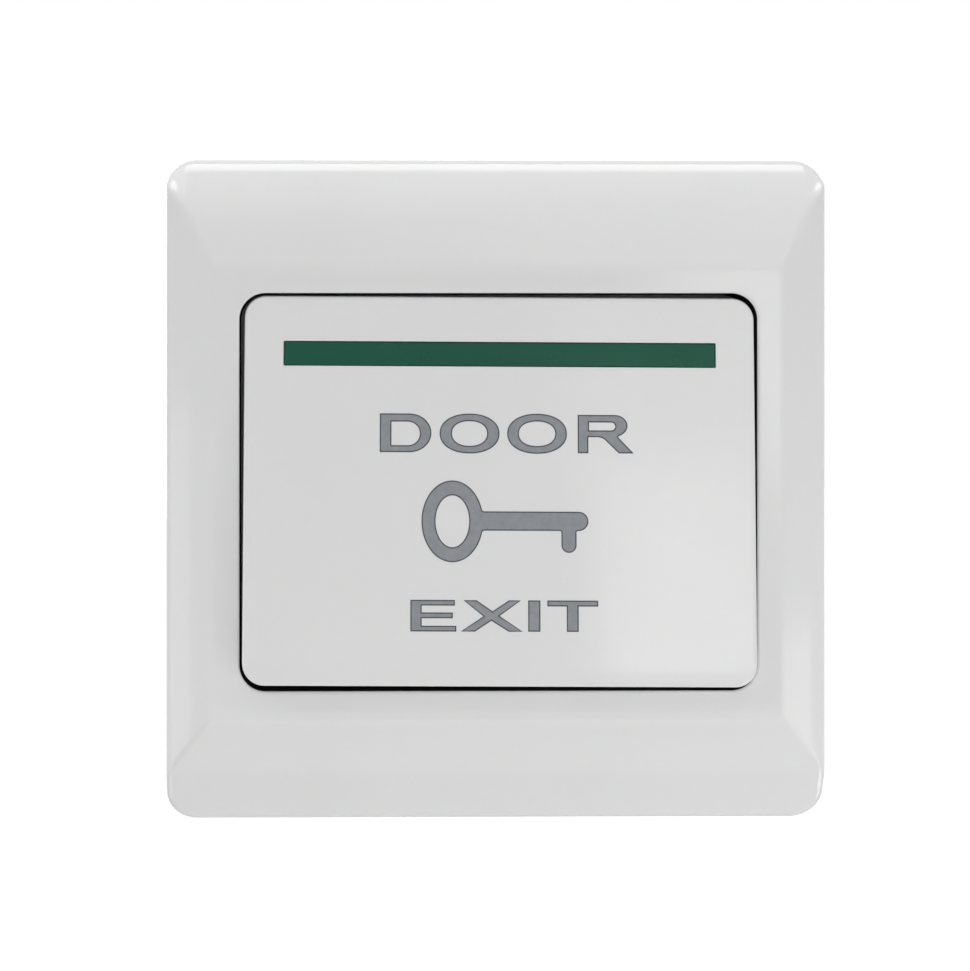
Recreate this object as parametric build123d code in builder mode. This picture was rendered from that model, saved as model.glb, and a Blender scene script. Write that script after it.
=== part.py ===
"""Door exit button: a clip-on frame, a rocking button and a contact block on an 86 mm wall plate.

Millimetres. X is to the right, Y into the wall and Z up. The origin is the middle of the
wall face: the wall is the plane y = 0, and the room is on the -Y side. The button is modelled
at rest, with its lower edge standing out.
"""

import os
from math import asin, atan2, cos, degrees, hypot, radians, sin

from build123d import *

os.makedirs("parts", exist_ok=True)

# Heights are measured out of the wall, so a height h lies at y = -h, and what is buried in
# the wall box has a negative height.

# Trim frame
frame_side = 86.0
frame_corner_r = 3.8
frame_depth = 9.0  # height of the flat border round the window
frame_wall = 1.8
frame_wall_gap = 0.3  # the rim's back edge stands this far off the wall
slope_overrun = 1.5  # the slopes are drawn this far past the sides, which cut them off
band_width = 17.6  # from the window to the top and bottom edges
band_slope = 14.3  # share of it that slopes
band_edge = 2.4  # height left at the top and bottom edges
band_r = 35.0  # convex slope of the top and bottom bands
flank_width = 9.9  # from the window to the left and right edges
flank_slope = 6.6  # share of it that slopes
flank_edge = 5.7  # height left at the left and right edges
flank_r = 26.5  # convex slope of the left and right flanks
mitre_r = 1.6
crease_r = 1.6
rim_r = 0.6
window_corner_r = 3.35
window_edge = 0.25
collar_wall = 1.4
collar_gap = 0.1  # the collar stops this far off the mounting plate
pry_notch_width = 1.4
pry_notch_depth = 0.8
pry_notch_x = 38.0

# Snap noses between the frame and the plate
nose_length = 8.0
nose_thickness = 0.7
nose_catch = 0.45
nose_pitch = 30.0
nose_play = 0.2
nose_end_play = 0.5

# Mounting plate
plate_gap = 1.7  # between the plate's edge and the frame's inner side
plate_corner_r = 3.0
plate_thickness = 2.0
platform_gap = 1.95  # between the platform and the button's inner side, above and below
platform_top = 5.0  # height of the platform's front
platform_wall = 1.6
platform_corner_r = 1.5
rib_inset = 3.5  # from the plate's edge
rib_width = 1.2
rib_height = 1.0
slot_pitch = 60.3  # between the two wall screws
slot_length = 6.4
slot_width = 4.2

# Hinge between the plate's ears and the button's pins
hinge_height = 4.4
hinge_inset = 1.0  # the hinge line lies this far below the platform's top edge
rest_tilt = 4.5  # degrees from the pressed position
pin_r = 1.4
pin_play = 0.05
pin_engagement = 2.2
pin_end_play = 0.4
ear_r = 2.3
ear_side_gap = 0.6
ear_thickness = 3.2
ear_mouth = 2.3  # the pin snaps in through this mouth

# Button
cap_side_gap = 0.5  # to the window on the left and right
cap_end_gap = 0.65  # to the window above and below
cap_corner_r = 2.85
cap_drop = 0.1  # the button's middle lies this far below the window's
cap_lift = 0.2  # the pressed face stands this far in front of the frame's border
cap_skirt = 6.0
cap_wall = 1.8
cap_face_wall = 2.0
cap_edge = 0.45
cap_draft = 0.6
cap_rib_width = 1.2
cap_rib_height = 1.4
cap_rib_inset = 2.4  # from the hinge ears
cap_rib_drop = 12.0  # from the hinge line
pad_r = 4.0
pad_height = 1.2
stop_gap = 0.1  # left under the stop ribs when the button is pressed
stop_x = 11.0
stop_inset = 2.5  # from the platform's bottom edge
stop_width = 5.0
stop_wall = 1.4

# Hooks that hold the button in
hook_inset = 7.0  # from the hinge ears
hook_width = 5.0
hook_wall = 1.2
hook_rise = 5.0  # from the platform's bottom edge
hook_reach = 1.7
hook_head = 1.4
hook_lead = 0.5
hook_play = 0.15  # between the hook and the platform at rest
hook_slot_play = 0.5
hook_slot_side = 0.3

# Marker strip
strip_inset = 5.1  # from the button's sides
strip_height = 3.04
strip_thickness = 1.0
strip_drop = 7.45  # from the button's top edge to the strip's middle
strip_sink = 0.05
strip_play = 0.05

# Plunger
plunger_r = 2.6
tip_r = 1.5
tip_length = 0.9
tip_gap = 0.15
guide_play = 0.05
flange_r = 3.9
flange_thickness = 1.0
flange_play = 0.1
stem_r = 1.6
stem_length = 4.1
spigot_r = 0.95
spigot_length = 1.0

# Contact housing
housing_width = 36.0
housing_height = 16.0
housing_rise = 5.4  # from the bottom of the platform's hollow
housing_rear = -10.0
housing_wall = 1.6
guide_boss_r = 4.2
boss_play = 0.1
cover_thickness = 1.6
tongue_play = 0.1
shelf_reach = 7.0
shelf_height = 10.0
shelf_front = -0.6
barrier_wall = 1.2
barrier_rear = -9.3

# Contacts
sheet = 0.8
bridge_sheet = 0.6
bridge_end_gap = 1.1  # to the screw pillars
bridge_width = 4.6
bridge_seat = 2.3  # flange to bridge, which the bridge spring fills
bridge_play = 0.05
contact_inset = 2.5  # from the bridge's end
contact_side = 2.8
contact_thickness = 0.7
closed_gap = 0.1
strap_width = 6.0
strap_arm_width = 4.4
strap_overlap = 2.8  # past the contact's middle
strap_shoulder = 7.0  # the strap widens this far inside the housing's side
strap_hook = 2.0
strap_bend_r = 0.9
strap_play = 0.05
clip_side = 5.0
clip_sheet = 0.5
clip_mouth = 1.9
clip_play = 0.05
groove_r = 1.1

# Springs
return_coil_r = 1.3
return_wire_r = 0.18
return_turns = 3.0
bridge_coil_r = 2.3
bridge_wire_r = 0.2
bridge_turns = 1.5
coil_seat_gap = 0.05

# Screws, nuts and clamps
thread_play = 0.03
hole_play = 0.2
fix_screw_inset = 4.0  # from the housing's side
fix_screw_r = 1.1
fix_screw_length = 7.4
fix_head_r = 2.2
fix_head = 1.3
fix_pillar_side = 4.8
cover_screw_inset = 3.4  # from the housing's side
cover_screw_margin = 1.9  # from the housing's top or bottom
cover_screw_r = 0.85
cover_screw_length = 6.0
cover_head_r = 1.6
cover_head = 1.0
cover_pillar_side = 3.8
terminal_reach = 3.4  # from the housing's side
terminal_screw_r = 1.45
terminal_screw_length = 5.6
terminal_head_r = 2.6
terminal_head = 1.5
clamp_side = 6.2
clamp_sheet = 1.0
nut_side = 5.5
nut_thickness = 2.0
nut_play = 0.1

# Sizes that follow from those above
band_crease = frame_side / 2 - band_slope  # half the height of the flat border
flank_crease = frame_side / 2 - flank_slope  # half its width
window_width = frame_side - 2 * flank_width
window_height = frame_side - 2 * band_width
hollow_side = frame_side - 2 * frame_wall
plate_side = hollow_side - 2 * plate_gap
rib_side = plate_side - 2 * rib_inset
cap_width = window_width - 2 * cap_side_gap
cap_height = window_height - 2 * cap_end_gap
cap_inner_x = cap_width / 2 - cap_wall
ear_outer_x = cap_inner_x - ear_side_gap
ear_inner_x = ear_outer_x - ear_thickness
platform_width = 2 * ear_inner_x
platform_height = cap_height - 2 * cap_wall - 2 * platform_gap
hinge_z = platform_height / 2 - hinge_inset
hook_x = ear_inner_x - hook_inset
hook_z = hook_rise - platform_height / 2
cap_rib_x = ear_inner_x - cap_rib_inset
cap_rib_z = hinge_z - cap_rib_drop
strip_width = cap_width - 2 * strip_inset
plunger_z = platform_wall - platform_height / 2 + housing_rise + housing_height / 2
pin_tip_x = ear_outer_x - pin_engagement
housing_x = housing_width / 2
shelf_x = housing_x + shelf_reach
fix_screw_x = housing_x - fix_screw_inset
bridge_length = 2 * (fix_screw_x - fix_pillar_side / 2 - bridge_end_gap)
contact_x = bridge_length / 2 - contact_inset
strap_tip_x = contact_x - strap_overlap
terminal_x = housing_x + terminal_reach
cover_screw_x = housing_x - cover_screw_inset
cover_screw_rise = housing_height / 2 - cover_screw_margin
strap_shoulder_x = housing_x - strap_shoulder

# Planes: the front plane faces the room, and the two section planes run across the frame
front = Plane.XZ
across_x = Plane(origin=(0, 0, 0), x_dir=(1, 0, 0), z_dir=(0, 0, -1))
across_z = Plane(origin=(0, 0, 0), x_dir=(0, 0, 1), z_dir=(1, 0, 0))

# The button's planes start on the hinge line and lean with the button at rest. On cap_plane, u
# runs right and v up the face, and w stands out of it. cap_section shows v and w.
lean = radians(rest_tilt)
hinge_point = (0, -hinge_height, hinge_z)
cap_plane = Plane(origin=hinge_point, x_dir=(1, 0, 0), z_dir=(0, -cos(lean), sin(lean)))
cap_section = Plane(origin=hinge_point, x_dir=(0, sin(lean), cos(lean)), z_dir=(1, 0, 0))
face_w = frame_depth + cap_lift - hinge_height
inner_w = face_w - cap_face_wall
skirt_w = face_w - cap_skirt
pad_w = inner_w - pad_height
cap_v = -cap_drop - hinge_z
strip_v = cap_v + cap_height / 2 - strip_drop
plunger_v = plunger_z - hinge_z
hook_v = hook_z - hinge_z

# Heights inside the contact block, from the platform backwards
platform_back = platform_top - platform_wall
inside_front = platform_back - housing_wall
plunger_travel = -plunger_v * lean
pad_over_tip = hinge_height + (pad_w - (plunger_v + tip_r) * sin(lean)) / cos(lean)
plunger_tip = pad_over_tip - tip_gap
flange_front = inside_front - flange_play
flange_back = flange_front - flange_thickness
bridge_front = flange_back - bridge_seat
bridge_back = bridge_front - bridge_sheet
clip_front = bridge_back - clip_play
clip_back = clip_front - clip_sheet
stem_end = flange_back - stem_length
spigot_end = stem_end - spigot_length
strap_front = bridge_back - 2 * contact_thickness - plunger_travel - closed_gap
strap_back = strap_front - sheet
clamp_front = strap_back - strap_play
clamp_back = clamp_front - clamp_sheet
cover_back = housing_rear - cover_thickness
nut_front = strap_front + nut_play + nut_thickness
strap_slot_width = strap_width + 2 * tongue_play
cover_screws_at = [
    (cover_screw_x, plunger_z + cover_screw_rise),
    (-cover_screw_x, plunger_z - cover_screw_rise),
]


def sloped_section(half_side, crease, edge, slope_r, inset=0):
    """Outline of the frame across one direction: a flat border, and convex slopes past the sides."""
    run, drop = half_side - crease, frame_depth - edge
    half_turn = degrees(asin(hypot(run, drop) / 2 / slope_r))
    lean_in = radians(degrees(atan2(drop, run)) - half_turn)
    overrun = degrees(slope_overrun / slope_r)
    with BuildSketch() as section:
        with BuildLine():
            Line((0, frame_depth), (crease, frame_depth))
            slope = JernArc(
                (crease, frame_depth), (cos(lean_in), -sin(lean_in)), slope_r,
                -2 * half_turn - overrun,
            )
            Polyline(slope @ 1, ((slope @ 1).X, -frame_depth), (0, -frame_depth))
            mirror(about=Plane.YZ)
        make_face()
        if inset:
            offset(amount=-inset, kind=Kind.INTERSECTION)
    return section.sketch


def block(width, height, at, low, high, corner_r=0, plane=front, mode=Mode.ADD):
    """Square or rounded block at a place on a plane, between two heights over it."""
    with BuildSketch(plane.offset(low)) as outline:
        with Locations(at):
            if corner_r:
                RectangleRounded(width, height, corner_r)
            else:
                Rectangle(width, height)
    extrude(outline.sketch, amount=high - low, mode=mode)


def disc(radius, at, low, high, plane=front, mode=Mode.ADD):
    """Round post or bore at a place on a plane, between two heights over it."""
    with BuildSketch(plane.offset(low)) as outline:
        with Locations(at):
            Circle(radius)
    extrude(outline.sketch, amount=high - low, mode=mode)


def turned(outline, at):
    """Turn an outline of (radius, height) corners about the Y line through a place (X, Z)."""
    axis_plane = Plane(origin=(at[0], 0, at[1]), x_dir=(1, 0, 0), z_dir=(0, 0, -1))
    with BuildSketch(axis_plane) as profile:
        with BuildLine():
            Polyline(*outline, close=True)
        make_face()
    revolve(profile.sketch, axis=Axis((at[0], 0, at[1]), (0, 1, 0)))


def screw(at, seat, out, head_r, head, shank_r, length):
    """Cheese-head screw: its head stands on a seat and points out of the wall (1) or into it (-1)."""
    tip = seat - out * length
    turned(
        [
            (0, tip),
            (shank_r, tip),
            (shank_r, seat),
            (head_r, seat),
            (head_r, seat + out * head),
            (0, seat + out * head),
        ],
        at,
    )


def coil(coil_r, wire_r, turns, low, high):
    """Compression spring round the plunger's axis, between two seats, drawn in square wire."""
    rise = high - low - 2 * wire_r - 2 * coil_seat_gap
    start = (0, -(low + wire_r + coil_seat_gap), plunger_z)
    with BuildLine() as path:
        Helix(pitch=rise / turns, height=rise, radius=coil_r, center=start, direction=(0, -1, 0))
    with BuildSketch(Plane(origin=path.line @ 0, z_dir=path.line % 0)) as section:
        RegularPolygon(wire_r, 4)
    sweep(section.sketch, path=path.line, is_frenet=True)


def strap(side):
    """Brass terminal strap: a fixed contact arm, a screw seat and an end hooked over the shelf."""
    middle = strap_front - sheet / 2
    outer_x = shelf_x + strap_play + sheet / 2
    at_plunger = Plane(
        origin=(0, 0, plunger_z - strap_width / 2), x_dir=(1, 0, 0), z_dir=(0, 0, -1)
    )
    with BuildSketch(at_plunger) as bent:
        with BuildLine():
            FilletPolyline(
                (side * strap_tip_x, middle),
                (side * outer_x, middle),
                (side * outer_x, middle + strap_hook),
                radius=strap_bend_r,
            )
        trace(line_width=sheet)
    extrude(bent.sketch, amount=-strap_width)
    with BuildSketch(front.offset(strap_back - strap_hook)) as plan:
        with Locations((side * (strap_tip_x + shelf_x + sheet) / 2, plunger_z)):
            Rectangle(shelf_x + sheet - strap_tip_x, strap_arm_width)
        with Locations((side * (strap_shoulder_x + outer_x + sheet) / 2, plunger_z)):
            Rectangle(outer_x + sheet - strap_shoulder_x, strap_width)
        with Locations((side * terminal_x, plunger_z)):
            Circle(terminal_screw_r + hole_play, mode=Mode.SUBTRACT)
    extrude(plan.sketch, amount=3 * strap_hook, mode=Mode.INTERSECT)


def finish(part, name):
    """Name the piece and write it to its file."""
    part.label = name
    export_step(part, f"parts/{name}.step")


# Trim frame: the hollow is the outer form drawn again, one wall further in
collar_width = window_width + 2 * collar_wall
collar_height = window_height + 2 * collar_wall
collar_back = plate_thickness + collar_gap

with BuildPart() as frame_hollow:
    block(hollow_side, hollow_side, (0, 0), 0, frame_depth)
    with BuildSketch(across_z):
        add(sloped_section(frame_side / 2, band_crease, band_edge, band_r, frame_wall))
    extrude(amount=frame_side, both=True, mode=Mode.INTERSECT)
    with BuildSketch(across_x):
        add(sloped_section(frame_side / 2, flank_crease, flank_edge, flank_r, frame_wall))
    extrude(amount=frame_side, both=True, mode=Mode.INTERSECT)
    block(
        collar_width, collar_height, (0, 0), collar_back, frame_depth,
        window_corner_r + collar_wall, mode=Mode.SUBTRACT,
    )

with BuildPart() as trim_frame:
    block(frame_side, frame_side, (0, 0), frame_wall_gap, frame_depth, frame_corner_r)
    with BuildSketch(across_z):
        add(sloped_section(frame_side / 2, band_crease, band_edge, band_r))
    extrude(amount=frame_side, both=True, mode=Mode.INTERSECT)
    with BuildSketch(across_x):
        add(sloped_section(frame_side / 2, flank_crease, flank_edge, flank_r))
    extrude(amount=frame_side, both=True, mode=Mode.INTERSECT)
    # The four mitres run from the border's corners to the rim, and are its longest sloping edges
    mitres = (
        trim_frame.edges()
        .filter_by(lambda e: min(tuple(e.bounding_box().size)) > rim_r)
        .sort_by(SortBy.LENGTH)[-4:]
    )
    fillet(mitres, mitre_r)
    fillet(trim_frame.faces().sort_by(Axis.Y)[0].edges(), crease_r)
    rim = (
        trim_frame.edges()
        .filter_by(lambda e: -flank_edge - mitre_r < e.center().Y < -frame_wall_gap - rim_r)
        .filter_by(lambda e: max(abs(e.center().X), abs(e.center().Z)) > hollow_side / 2)
        .filter_by(lambda e: e.bounding_box().max.Y < -frame_wall_gap)
    )
    fillet(rim, rim_r)
    add(frame_hollow.part, mode=Mode.SUBTRACT)
    block(
        window_width, window_height, (0, 0), 0, 2 * frame_depth, window_corner_r,
        mode=Mode.SUBTRACT,
    )
    chamfer(trim_frame.faces().sort_by(Axis.Y)[0].inner_wires()[0].edges(), window_edge)
    # Snap noses on both sides, and the notch where a blade levers the frame off
    nose_tip_x = plate_side / 2 - nose_catch
    nose_root_x = frame_side / 2 - frame_wall / 2
    for side in (-1, 1):
        for z in (-nose_pitch / 2, nose_pitch / 2):
            block(
                nose_root_x - nose_tip_x, nose_length, (side * (nose_root_x + nose_tip_x) / 2, z),
                frame_wall_gap, frame_wall_gap + nose_thickness,
            )
    block(
        pry_notch_width, 2 * frame_wall, (pry_notch_x, -frame_side / 2),
        frame_wall_gap, frame_wall_gap + pry_notch_depth, mode=Mode.SUBTRACT,
    )

# Mounting plate: a flat sheet with the raised platform that carries the button and the contacts
with BuildPart() as mounting_plate:
    block(plate_side, plate_side, (0, 0), 0, plate_thickness, plate_corner_r)
    block(platform_width, platform_height, (0, 0), 0, platform_top, platform_corner_r)
    block(rib_side, rib_side, (0, 0), plate_thickness, plate_thickness + rib_height)
    inner_rib = rib_side - 2 * rib_width
    block(
        inner_rib, inner_rib, (0, 0), plate_thickness, plate_thickness + rib_height,
        mode=Mode.SUBTRACT,
    )
    block(
        platform_width, platform_height, (0, 0), plate_thickness, platform_top, platform_corner_r
    )
    for side in (-1, 1):
        ear_plane = Plane.YZ.offset(side * ear_inner_x)
        with BuildSketch(ear_plane) as ear:
            with Locations((-hinge_height, hinge_z)):
                Circle(ear_r)
            with Locations((-hinge_height / 2, hinge_z)):
                Rectangle(hinge_height, 2 * ear_r)
        extrude(ear.sketch, amount=side * (ear_outer_x - ear_inner_x))
        bore_depth = pin_engagement + pin_end_play
        with BuildSketch(Plane.YZ.offset(side * ear_outer_x)) as bore:
            with Locations((-hinge_height, hinge_z)):
                Circle(pin_r + pin_play)
            with Locations((-hinge_height - ear_r, hinge_z)):
                Rectangle(2 * ear_r, ear_mouth)
        extrude(bore.sketch, amount=-side * bore_depth, mode=Mode.SUBTRACT)
    hollow_width = platform_width - 2 * platform_wall
    hollow_height = platform_height - 2 * platform_wall
    block(hollow_width, hollow_height, (0, 0), 0, platform_back, mode=Mode.SUBTRACT)
    with BuildSketch(front) as slots:
        with Locations((0, slot_pitch / 2), (0, -slot_pitch / 2)):
            SlotOverall(slot_length, slot_width, rotation=90)
    extrude(slots.sketch, amount=plate_thickness, mode=Mode.SUBTRACT)
    for side in (-1, 1):
        block(
            hook_width + 2 * hook_slot_side, hook_wall + 2 * hook_slot_play,
            (side * hook_x, hook_z), platform_back, platform_top, mode=Mode.SUBTRACT,
        )
        disc(
            fix_screw_r + hole_play, (side * fix_screw_x, plunger_z), platform_back, platform_top,
            mode=Mode.SUBTRACT,
        )
        recess_x = nose_tip_x - nose_end_play
        for z in (-nose_pitch / 2, nose_pitch / 2):
            block(
                plate_side - recess_x, nose_length + 2 * nose_end_play,
                (side * (recess_x + plate_side) / 2, z),
                0, frame_wall_gap + nose_thickness + nose_play, mode=Mode.SUBTRACT,
            )
    disc(
        guide_boss_r + boss_play, (0, plunger_z), platform_back, platform_top,
        mode=Mode.SUBTRACT,
    )

# Button: a drafted cap with hinge pins, hooks, stop ribs and a pad over the plunger
with BuildPart() as button_cap:
    with BuildSketch(cap_plane.offset(skirt_w)):
        with Locations((0, cap_v)):
            RectangleRounded(cap_width, cap_height, cap_corner_r)
    extrude(amount=cap_skirt, taper=cap_draft)
    out_of_face = Axis(hinge_point, cap_plane.z_dir)
    chamfer(button_cap.faces().sort_by(out_of_face)[-1].edges(), cap_edge)
    with BuildSketch(cap_plane.offset(skirt_w)):
        with Locations((0, cap_v)):
            Rectangle(cap_width - 2 * cap_wall, cap_height - 2 * cap_wall)
    extrude(amount=inner_w - skirt_w, taper=cap_draft, mode=Mode.SUBTRACT)
    block(
        strip_width + 2 * strip_play, strip_height + 2 * strip_play, (0, strip_v),
        face_w - strip_thickness - strip_sink, face_w, plane=cap_plane, mode=Mode.SUBTRACT,
    )
    disc(pad_r, (0, plunger_v), pad_w, inner_w, plane=cap_plane)
    rib_w = inner_w - cap_rib_height
    for side in (-1, 1):
        block(
            cap_rib_width, cap_height - 2 * cap_wall, (side * cap_rib_x, cap_v),
            rib_w, inner_w, plane=cap_plane,
        )
        block(
            stop_width, stop_wall,
            (side * stop_x, stop_inset - platform_height / 2 - hinge_z),
            platform_top - hinge_height + stop_gap, inner_w, plane=cap_plane,
        )
    block(
        cap_width - 2 * cap_wall, cap_rib_width, (0, cap_rib_z - hinge_z),
        rib_w, inner_w, plane=cap_plane,
    )
    for side in (-1, 1):
        with BuildSketch(Plane.YZ.offset(side * pin_tip_x)) as pin:
            with Locations((-hinge_height, hinge_z)):
                Circle(pin_r)
        extrude(pin.sketch, amount=side * (cap_inner_x + cap_wall / 2 - pin_tip_x))
    # The catch clears the platform's back by its play at rest, and goes deeper when pressed
    hook_top_v = hook_v + hook_wall / 2
    hook_low_v = hook_v - hook_wall / 2
    hook_tip_v = hook_low_v - hook_reach
    catch_w = (platform_back - hook_play - hinge_height + hook_tip_v * sin(lean)) / cos(lean)
    for side in (-1, 1):
        with BuildSketch(cap_section.offset(side * hook_x - hook_width / 2)) as hook:
            with BuildLine():
                Polyline(
                    (hook_top_v, inner_w),
                    (hook_top_v, catch_w - hook_head),
                    (hook_low_v, catch_w - hook_head),
                    (hook_tip_v, catch_w - hook_lead),
                    (hook_tip_v, catch_w),
                    (hook_low_v, catch_w),
                    (hook_low_v, inner_w),
                    close=True,
                )
            make_face()
        extrude(hook.sketch, amount=hook_width)

with BuildPart() as marker_strip:
    block(
        strip_width, strip_height, (0, strip_v),
        face_w - strip_sink - strip_thickness + strip_play, face_w - strip_sink,
        plane=cap_plane,
    )

# Contact housing: an open box under the platform, with a guide boss and two terminal shelves
with BuildPart() as contact_housing:
    centre = (0, plunger_z)
    block(housing_width, housing_height, centre, housing_rear, platform_back)
    block(
        housing_width - 2 * housing_wall, housing_height - 2 * housing_wall, centre,
        housing_rear, inside_front, mode=Mode.SUBTRACT,
    )
    disc(guide_boss_r, centre, platform_back, platform_top)
    for side in (-1, 1):
        shelf_middle = side * (housing_x + shelf_x) / 2
        block(
            fix_pillar_side, fix_pillar_side, (side * fix_screw_x, plunger_z),
            strap_front, inside_front,
        )
        block(shelf_reach, shelf_height, (shelf_middle, plunger_z), strap_front, shelf_front)
        for rise in (-1, 1):
            barrier_z = plunger_z + rise * (shelf_height - barrier_wall) / 2
            block(shelf_reach, barrier_wall, (shelf_middle, barrier_z), barrier_rear, strap_front)
    # The strap bends over this edge of the shelf
    strap_edges = (
        contact_housing.edges()
        .filter_by(Axis.Z)
        .filter_by(lambda e: abs(abs(e.center().X) - shelf_x) < strap_play)
        .filter_by(lambda e: abs(e.center().Y + strap_front) < strap_play)
    )
    chamfer(strap_edges, strap_bend_r / 2)
    for place in cover_screws_at:
        block(cover_pillar_side, cover_pillar_side, place, housing_rear, inside_front)
    disc(plunger_r + guide_play, centre, inside_front, platform_top, mode=Mode.SUBTRACT)
    for side in (-1, 1):
        fix_bore = platform_top - fix_screw_length - hole_play
        disc(
            fix_screw_r + thread_play, (side * fix_screw_x, plunger_z), fix_bore, platform_back,
            mode=Mode.SUBTRACT,
        )
        block(
            2 * housing_wall, strap_slot_width, (side * housing_x, plunger_z),
            housing_rear, strap_front, mode=Mode.SUBTRACT,
        )
        nut_pocket = nut_side + 2 * nut_play
        block(
            nut_pocket, nut_pocket, (side * terminal_x, plunger_z), strap_front, nut_front,
            mode=Mode.SUBTRACT,
        )
        screw_tip = clamp_back + terminal_screw_length
        disc(
            terminal_screw_r + hole_play, (side * terminal_x, plunger_z),
            nut_front, screw_tip + hole_play, mode=Mode.SUBTRACT,
        )
    for place in cover_screws_at:
        disc(
            cover_screw_r + thread_play, place,
            housing_rear, cover_back + cover_screw_length + hole_play, mode=Mode.SUBTRACT,
        )

with BuildPart() as housing_cover:
    block(housing_width, housing_height, centre, cover_back, housing_rear)
    disc(spigot_r, centre, housing_rear, housing_rear + spigot_length)
    for side in (-1, 1):
        block(
            housing_wall - 2 * tongue_play, strap_width,
            (side * (housing_x - housing_wall / 2), plunger_z),
            housing_rear, strap_back - tongue_play,
        )
    for place in cover_screws_at:
        disc(cover_screw_r + hole_play, place, cover_back, housing_rear, mode=Mode.SUBTRACT)

with BuildPart() as housing_screws:
    for side in (-1, 1):
        screw(
            (side * fix_screw_x, plunger_z), platform_top, 1,
            fix_head_r, fix_head, fix_screw_r, fix_screw_length,
        )

with BuildPart() as cover_screws:
    for place in cover_screws_at:
        screw(
            place, cover_back, -1, cover_head_r, cover_head, cover_screw_r, cover_screw_length
        )

# Plunger: a shaft in the guide, a flange that stops it, and a stem that carries the bridge
with BuildPart() as plunger:
    axis_plane = Plane(origin=(0, 0, plunger_z), x_dir=(1, 0, 0), z_dir=(0, 0, -1))
    with BuildSketch(axis_plane):
        with BuildLine():
            Polyline(
                (0, plunger_tip),
                (tip_r, plunger_tip),
                (tip_r, plunger_tip - tip_length),
                (plunger_r, plunger_tip - tip_length),
                (plunger_r, flange_front),
                (flange_r, flange_front),
                (flange_r, flange_back),
                (stem_r, flange_back),
                (stem_r, clip_front + clip_play / 2),
                (groove_r, clip_front + clip_play / 2),
                (groove_r, clip_back - clip_play / 2),
                (stem_r, clip_back - clip_play / 2),
                (stem_r, stem_end),
                (spigot_r, stem_end),
                (spigot_r, spigot_end),
                (0, spigot_end),
                close=True,
            )
        make_face()
    revolve(axis=Axis((0, 0, plunger_z), (0, 1, 0)))

with BuildPart() as plunger_return_spring:
    coil(return_coil_r, return_wire_r, return_turns, housing_rear, stem_end)

with BuildPart() as bridge_spring:
    coil(bridge_coil_r, bridge_wire_r, bridge_turns, bridge_front, flange_back)

# Contact bridge: a strip with a welded contact at each end, held on the stem by its spring and a clip
with BuildPart() as contact_bridge:
    with BuildSketch(front.offset(bridge_back)):
        with Locations(centre):
            Rectangle(bridge_length, bridge_width)
            Circle(stem_r + bridge_play, mode=Mode.SUBTRACT)
    extrude(amount=bridge_sheet)

with BuildPart() as bridge_contacts:
    for side in (-1, 1):
        block(
            contact_side, contact_side, (side * contact_x, plunger_z),
            bridge_back - contact_thickness, bridge_back,
        )

with BuildPart() as bridge_clip:
    with BuildSketch(front.offset(clip_back)):
        with Locations(centre):
            Rectangle(clip_side, clip_side)
            Circle(groove_r + clip_play, mode=Mode.SUBTRACT)
            with Locations((0, -clip_side / 2)):
                Rectangle(clip_mouth, clip_side, mode=Mode.SUBTRACT)
    extrude(amount=clip_sheet)

# Terminals: two straps with fixed contacts, each under a clamp and a screw in a captive nut
with BuildPart() as terminal_common:
    strap(-1)

with BuildPart() as terminal_switched:
    strap(1)

with BuildPart() as fixed_contacts:
    for side in (-1, 1):
        block(
            contact_side, contact_side, (side * contact_x, plunger_z),
            strap_front, strap_front + contact_thickness,
        )

with BuildPart() as wire_clamps:
    for side in (-1, 1):
        place = (side * terminal_x, plunger_z)
        block(clamp_side, clamp_side, place, clamp_back, clamp_front)
        disc(terminal_screw_r + hole_play, place, clamp_back, clamp_front, mode=Mode.SUBTRACT)

with BuildPart() as terminal_nuts:
    for side in (-1, 1):
        place = (side * terminal_x, plunger_z)
        block(nut_side, nut_side, place, nut_front - nut_thickness, nut_front)
        disc(
            terminal_screw_r + thread_play, place, nut_front - nut_thickness, nut_front,
            mode=Mode.SUBTRACT,
        )

with BuildPart() as terminal_screws:
    for side in (-1, 1):
        screw(
            (side * terminal_x, plunger_z), clamp_back, -1,
            terminal_head_r, terminal_head, terminal_screw_r, terminal_screw_length,
        )

finish(trim_frame.part, "trim_frame")
finish(mounting_plate.part, "mounting_plate")
finish(button_cap.part, "button_cap")
finish(marker_strip.part, "marker_strip")
finish(contact_housing.part, "contact_housing")
finish(housing_cover.part, "housing_cover")
finish(housing_screws.part, "housing_screws")
finish(cover_screws.part, "cover_screws")
finish(plunger.part, "plunger")
finish(plunger_return_spring.part, "plunger_return_spring")
finish(bridge_spring.part, "bridge_spring")
finish(contact_bridge.part, "contact_bridge")
finish(bridge_contacts.part, "bridge_contacts")
finish(bridge_clip.part, "bridge_clip")
finish(terminal_common.part, "terminal_common")
finish(terminal_switched.part, "terminal_switched")
finish(fixed_contacts.part, "fixed_contacts")
finish(wire_clamps.part, "wire_clamps")
finish(terminal_nuts.part, "terminal_nuts")
finish(terminal_screws.part, "terminal_screws")
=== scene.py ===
"""Door exit button: the looks of its frame, push plate, wall plate and contact block.

Sizes in the classes are in millimetres. X is to the right, Y into the wall and Z up, and a
height is measured out of the wall, towards the room.
"""

import logging
from dataclasses import dataclass, field
from enum import Enum
from math import cos, pi, radians, sin, tan
from typing import Callable, Sequence

import bmesh
import bpy
import numpy as np
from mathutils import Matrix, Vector
from mathutils.geometry import tessellate_polygon


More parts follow.
